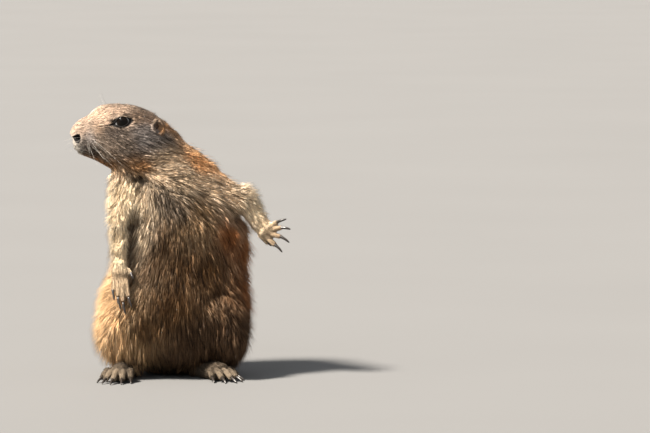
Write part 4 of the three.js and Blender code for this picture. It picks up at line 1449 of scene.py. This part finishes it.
def make_whiskers(skin, material):
    """Pale and dark whiskers in rows on both pads, and a pair over each eye."""
    random = np.random.default_rng(WHISKER_SEED)
    starts, ways, lengths = whisker_ways(random)
    roots = whisker_roots(skin, starts) - ways * 0.5
    pull = roots + ways * lengths * 0.5
    droop = np.column_stack([lengths[:, 0] * 0.12, 0 * lengths[:, 0], -lengths[:, 0] * 0.14])
    end = roots + ways * lengths + droop
    across = unit(np.cross(ways, (0.1, 0.2, 1.0)))
    half = np.full(len(roots), WHISKER_HALF)
    above = np.cross(across, ways)
    corners = locks_along(WHISKER, [roots, pull, end], half, across, above, 1.0)
    is_pale = random.random((len(roots), 1, 1)) < 0.7
    tone = np.where(is_pale, PALE_WHISKER, DARK_WHISKER) * np.array((1.0, 0.93, 0.82))
    colours = np.broadcast_to(tone, corners.shape)
    places = np.column_stack([np.linspace(0.02, 0.97, len(roots)), np.full(len(roots), 0.5)])
    add_piece("whiskers", joined_mesh("whiskers", WHISKER, corners, colours, places), material)


# The studio

IMAGE_WIDTH = 650
MM_PER_PIXEL = 0.72
CAMERA_DISTANCE = 3.0
CAMERA_ELEVATION = 5.0
AIM = (108, 0, 114.5)               # the body's place at the middle of the picture
FLOOR_RADIUS = 90
WORLD_COLOUR = (0.95, 0.97, 1.0, 1)
WORLD_STRENGTH = 0.50
SUNS = [                            # name, where it shines from, width, strength and colour
    ("key", (-0.52, -0.32, 0.79), 11, 15.2, (1.0, 0.93, 0.84)),
    ("sky", (-0.5, -1.0, 0.75), 25, 0.4, (0.86, 0.93, 1.0)),
]


def make_camera():
    camera = bpy.data.objects.new("camera", bpy.data.cameras.new("camera"))
    bpy.context.scene.collection.objects.link(camera)
    aim = Vector(metres(AIM))
    tilt = math.radians(CAMERA_ELEVATION)
    back = Vector((0, -math.cos(tilt), math.sin(tilt)))
    camera.location = aim + back * CAMERA_DISTANCE
    camera.rotation_euler = (-back).to_track_quat("-Z", "Y").to_euler()
    view_width = IMAGE_WIDTH * MM_PER_PIXEL * MM
    camera.data.lens = camera.data.sensor_width * CAMERA_DISTANCE / view_width
    camera.data.clip_end = 200
    bpy.context.scene.camera = camera


def add_sun(name, way, angle, power, colour):
    """A lamp that shines from the given side, wide enough for soft shadows."""
    light = bpy.data.objects.new(name, bpy.data.lights.new(name, "SUN"))
    bpy.context.scene.collection.objects.link(light)
    light.data.angle = math.radians(angle)
    light.data.energy = power
    light.data.color = colour
    light.rotation_euler = Vector(way).to_track_quat("Z", "Y").to_euler()


def make_studio():
    made = bmesh.new()
    bmesh.ops.create_circle(made, cap_ends=True, segments=96, radius=FLOOR_RADIUS)
    mesh = bpy.data.meshes.new("floor")
    made.to_mesh(mesh)
    made.free()
    mesh.materials.append(floor_material())
    floor = bpy.data.objects.new("floor", mesh)
    bpy.context.scene.collection.objects.link(floor)
    for sun in SUNS:
        add_sun(*sun)
    world = bpy.data.worlds.new("studio")
    world.use_nodes = True
    background = world.node_tree.nodes["Background"]
    background.inputs["Color"].default_value = WORLD_COLOUR
    background.inputs["Strength"].default_value = WORLD_STRENGTH
    bpy.context.scene.world = world
    bpy.context.scene.view_settings.view_transform = "Standard"


def make_animal():
    owners = Owners()
    grain = grain_group()
    mesh = skin_mesh(owners)
    hollow = hollows(mesh, owners)
    tint_skin(mesh, owners, hollow)
    mesh.shade_smooth()
    hide = pelt_material(
        "hide", grain, 900, 0.5, 0.00035, Roughness=0.75, Specular_IOR_Level=0.15)
    skin = add_piece("skin", mesh, hide, FLESH)
    fur = pelt_material(
        "fur", grain, 1500, 0.25, 0, Roughness=0.62, Specular_IOR_Level=0.18)
    for name, coat_mesh in grow_coat(mesh, owners, hollow):
        add_piece(coat_mesh.name, coat_mesh, fur)
    make_whiskers(skin, fur)
    dark = eye_material()
    make_eye("eye_left", NEAR, dark)
    make_eye("eye_right", FAR, dark)
    horn = horn_material()
    for node in sorted(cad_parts):
        if node.startswith("claw_"):
            make_claw(node, horn)


make_camera()
make_animal()
make_studio()
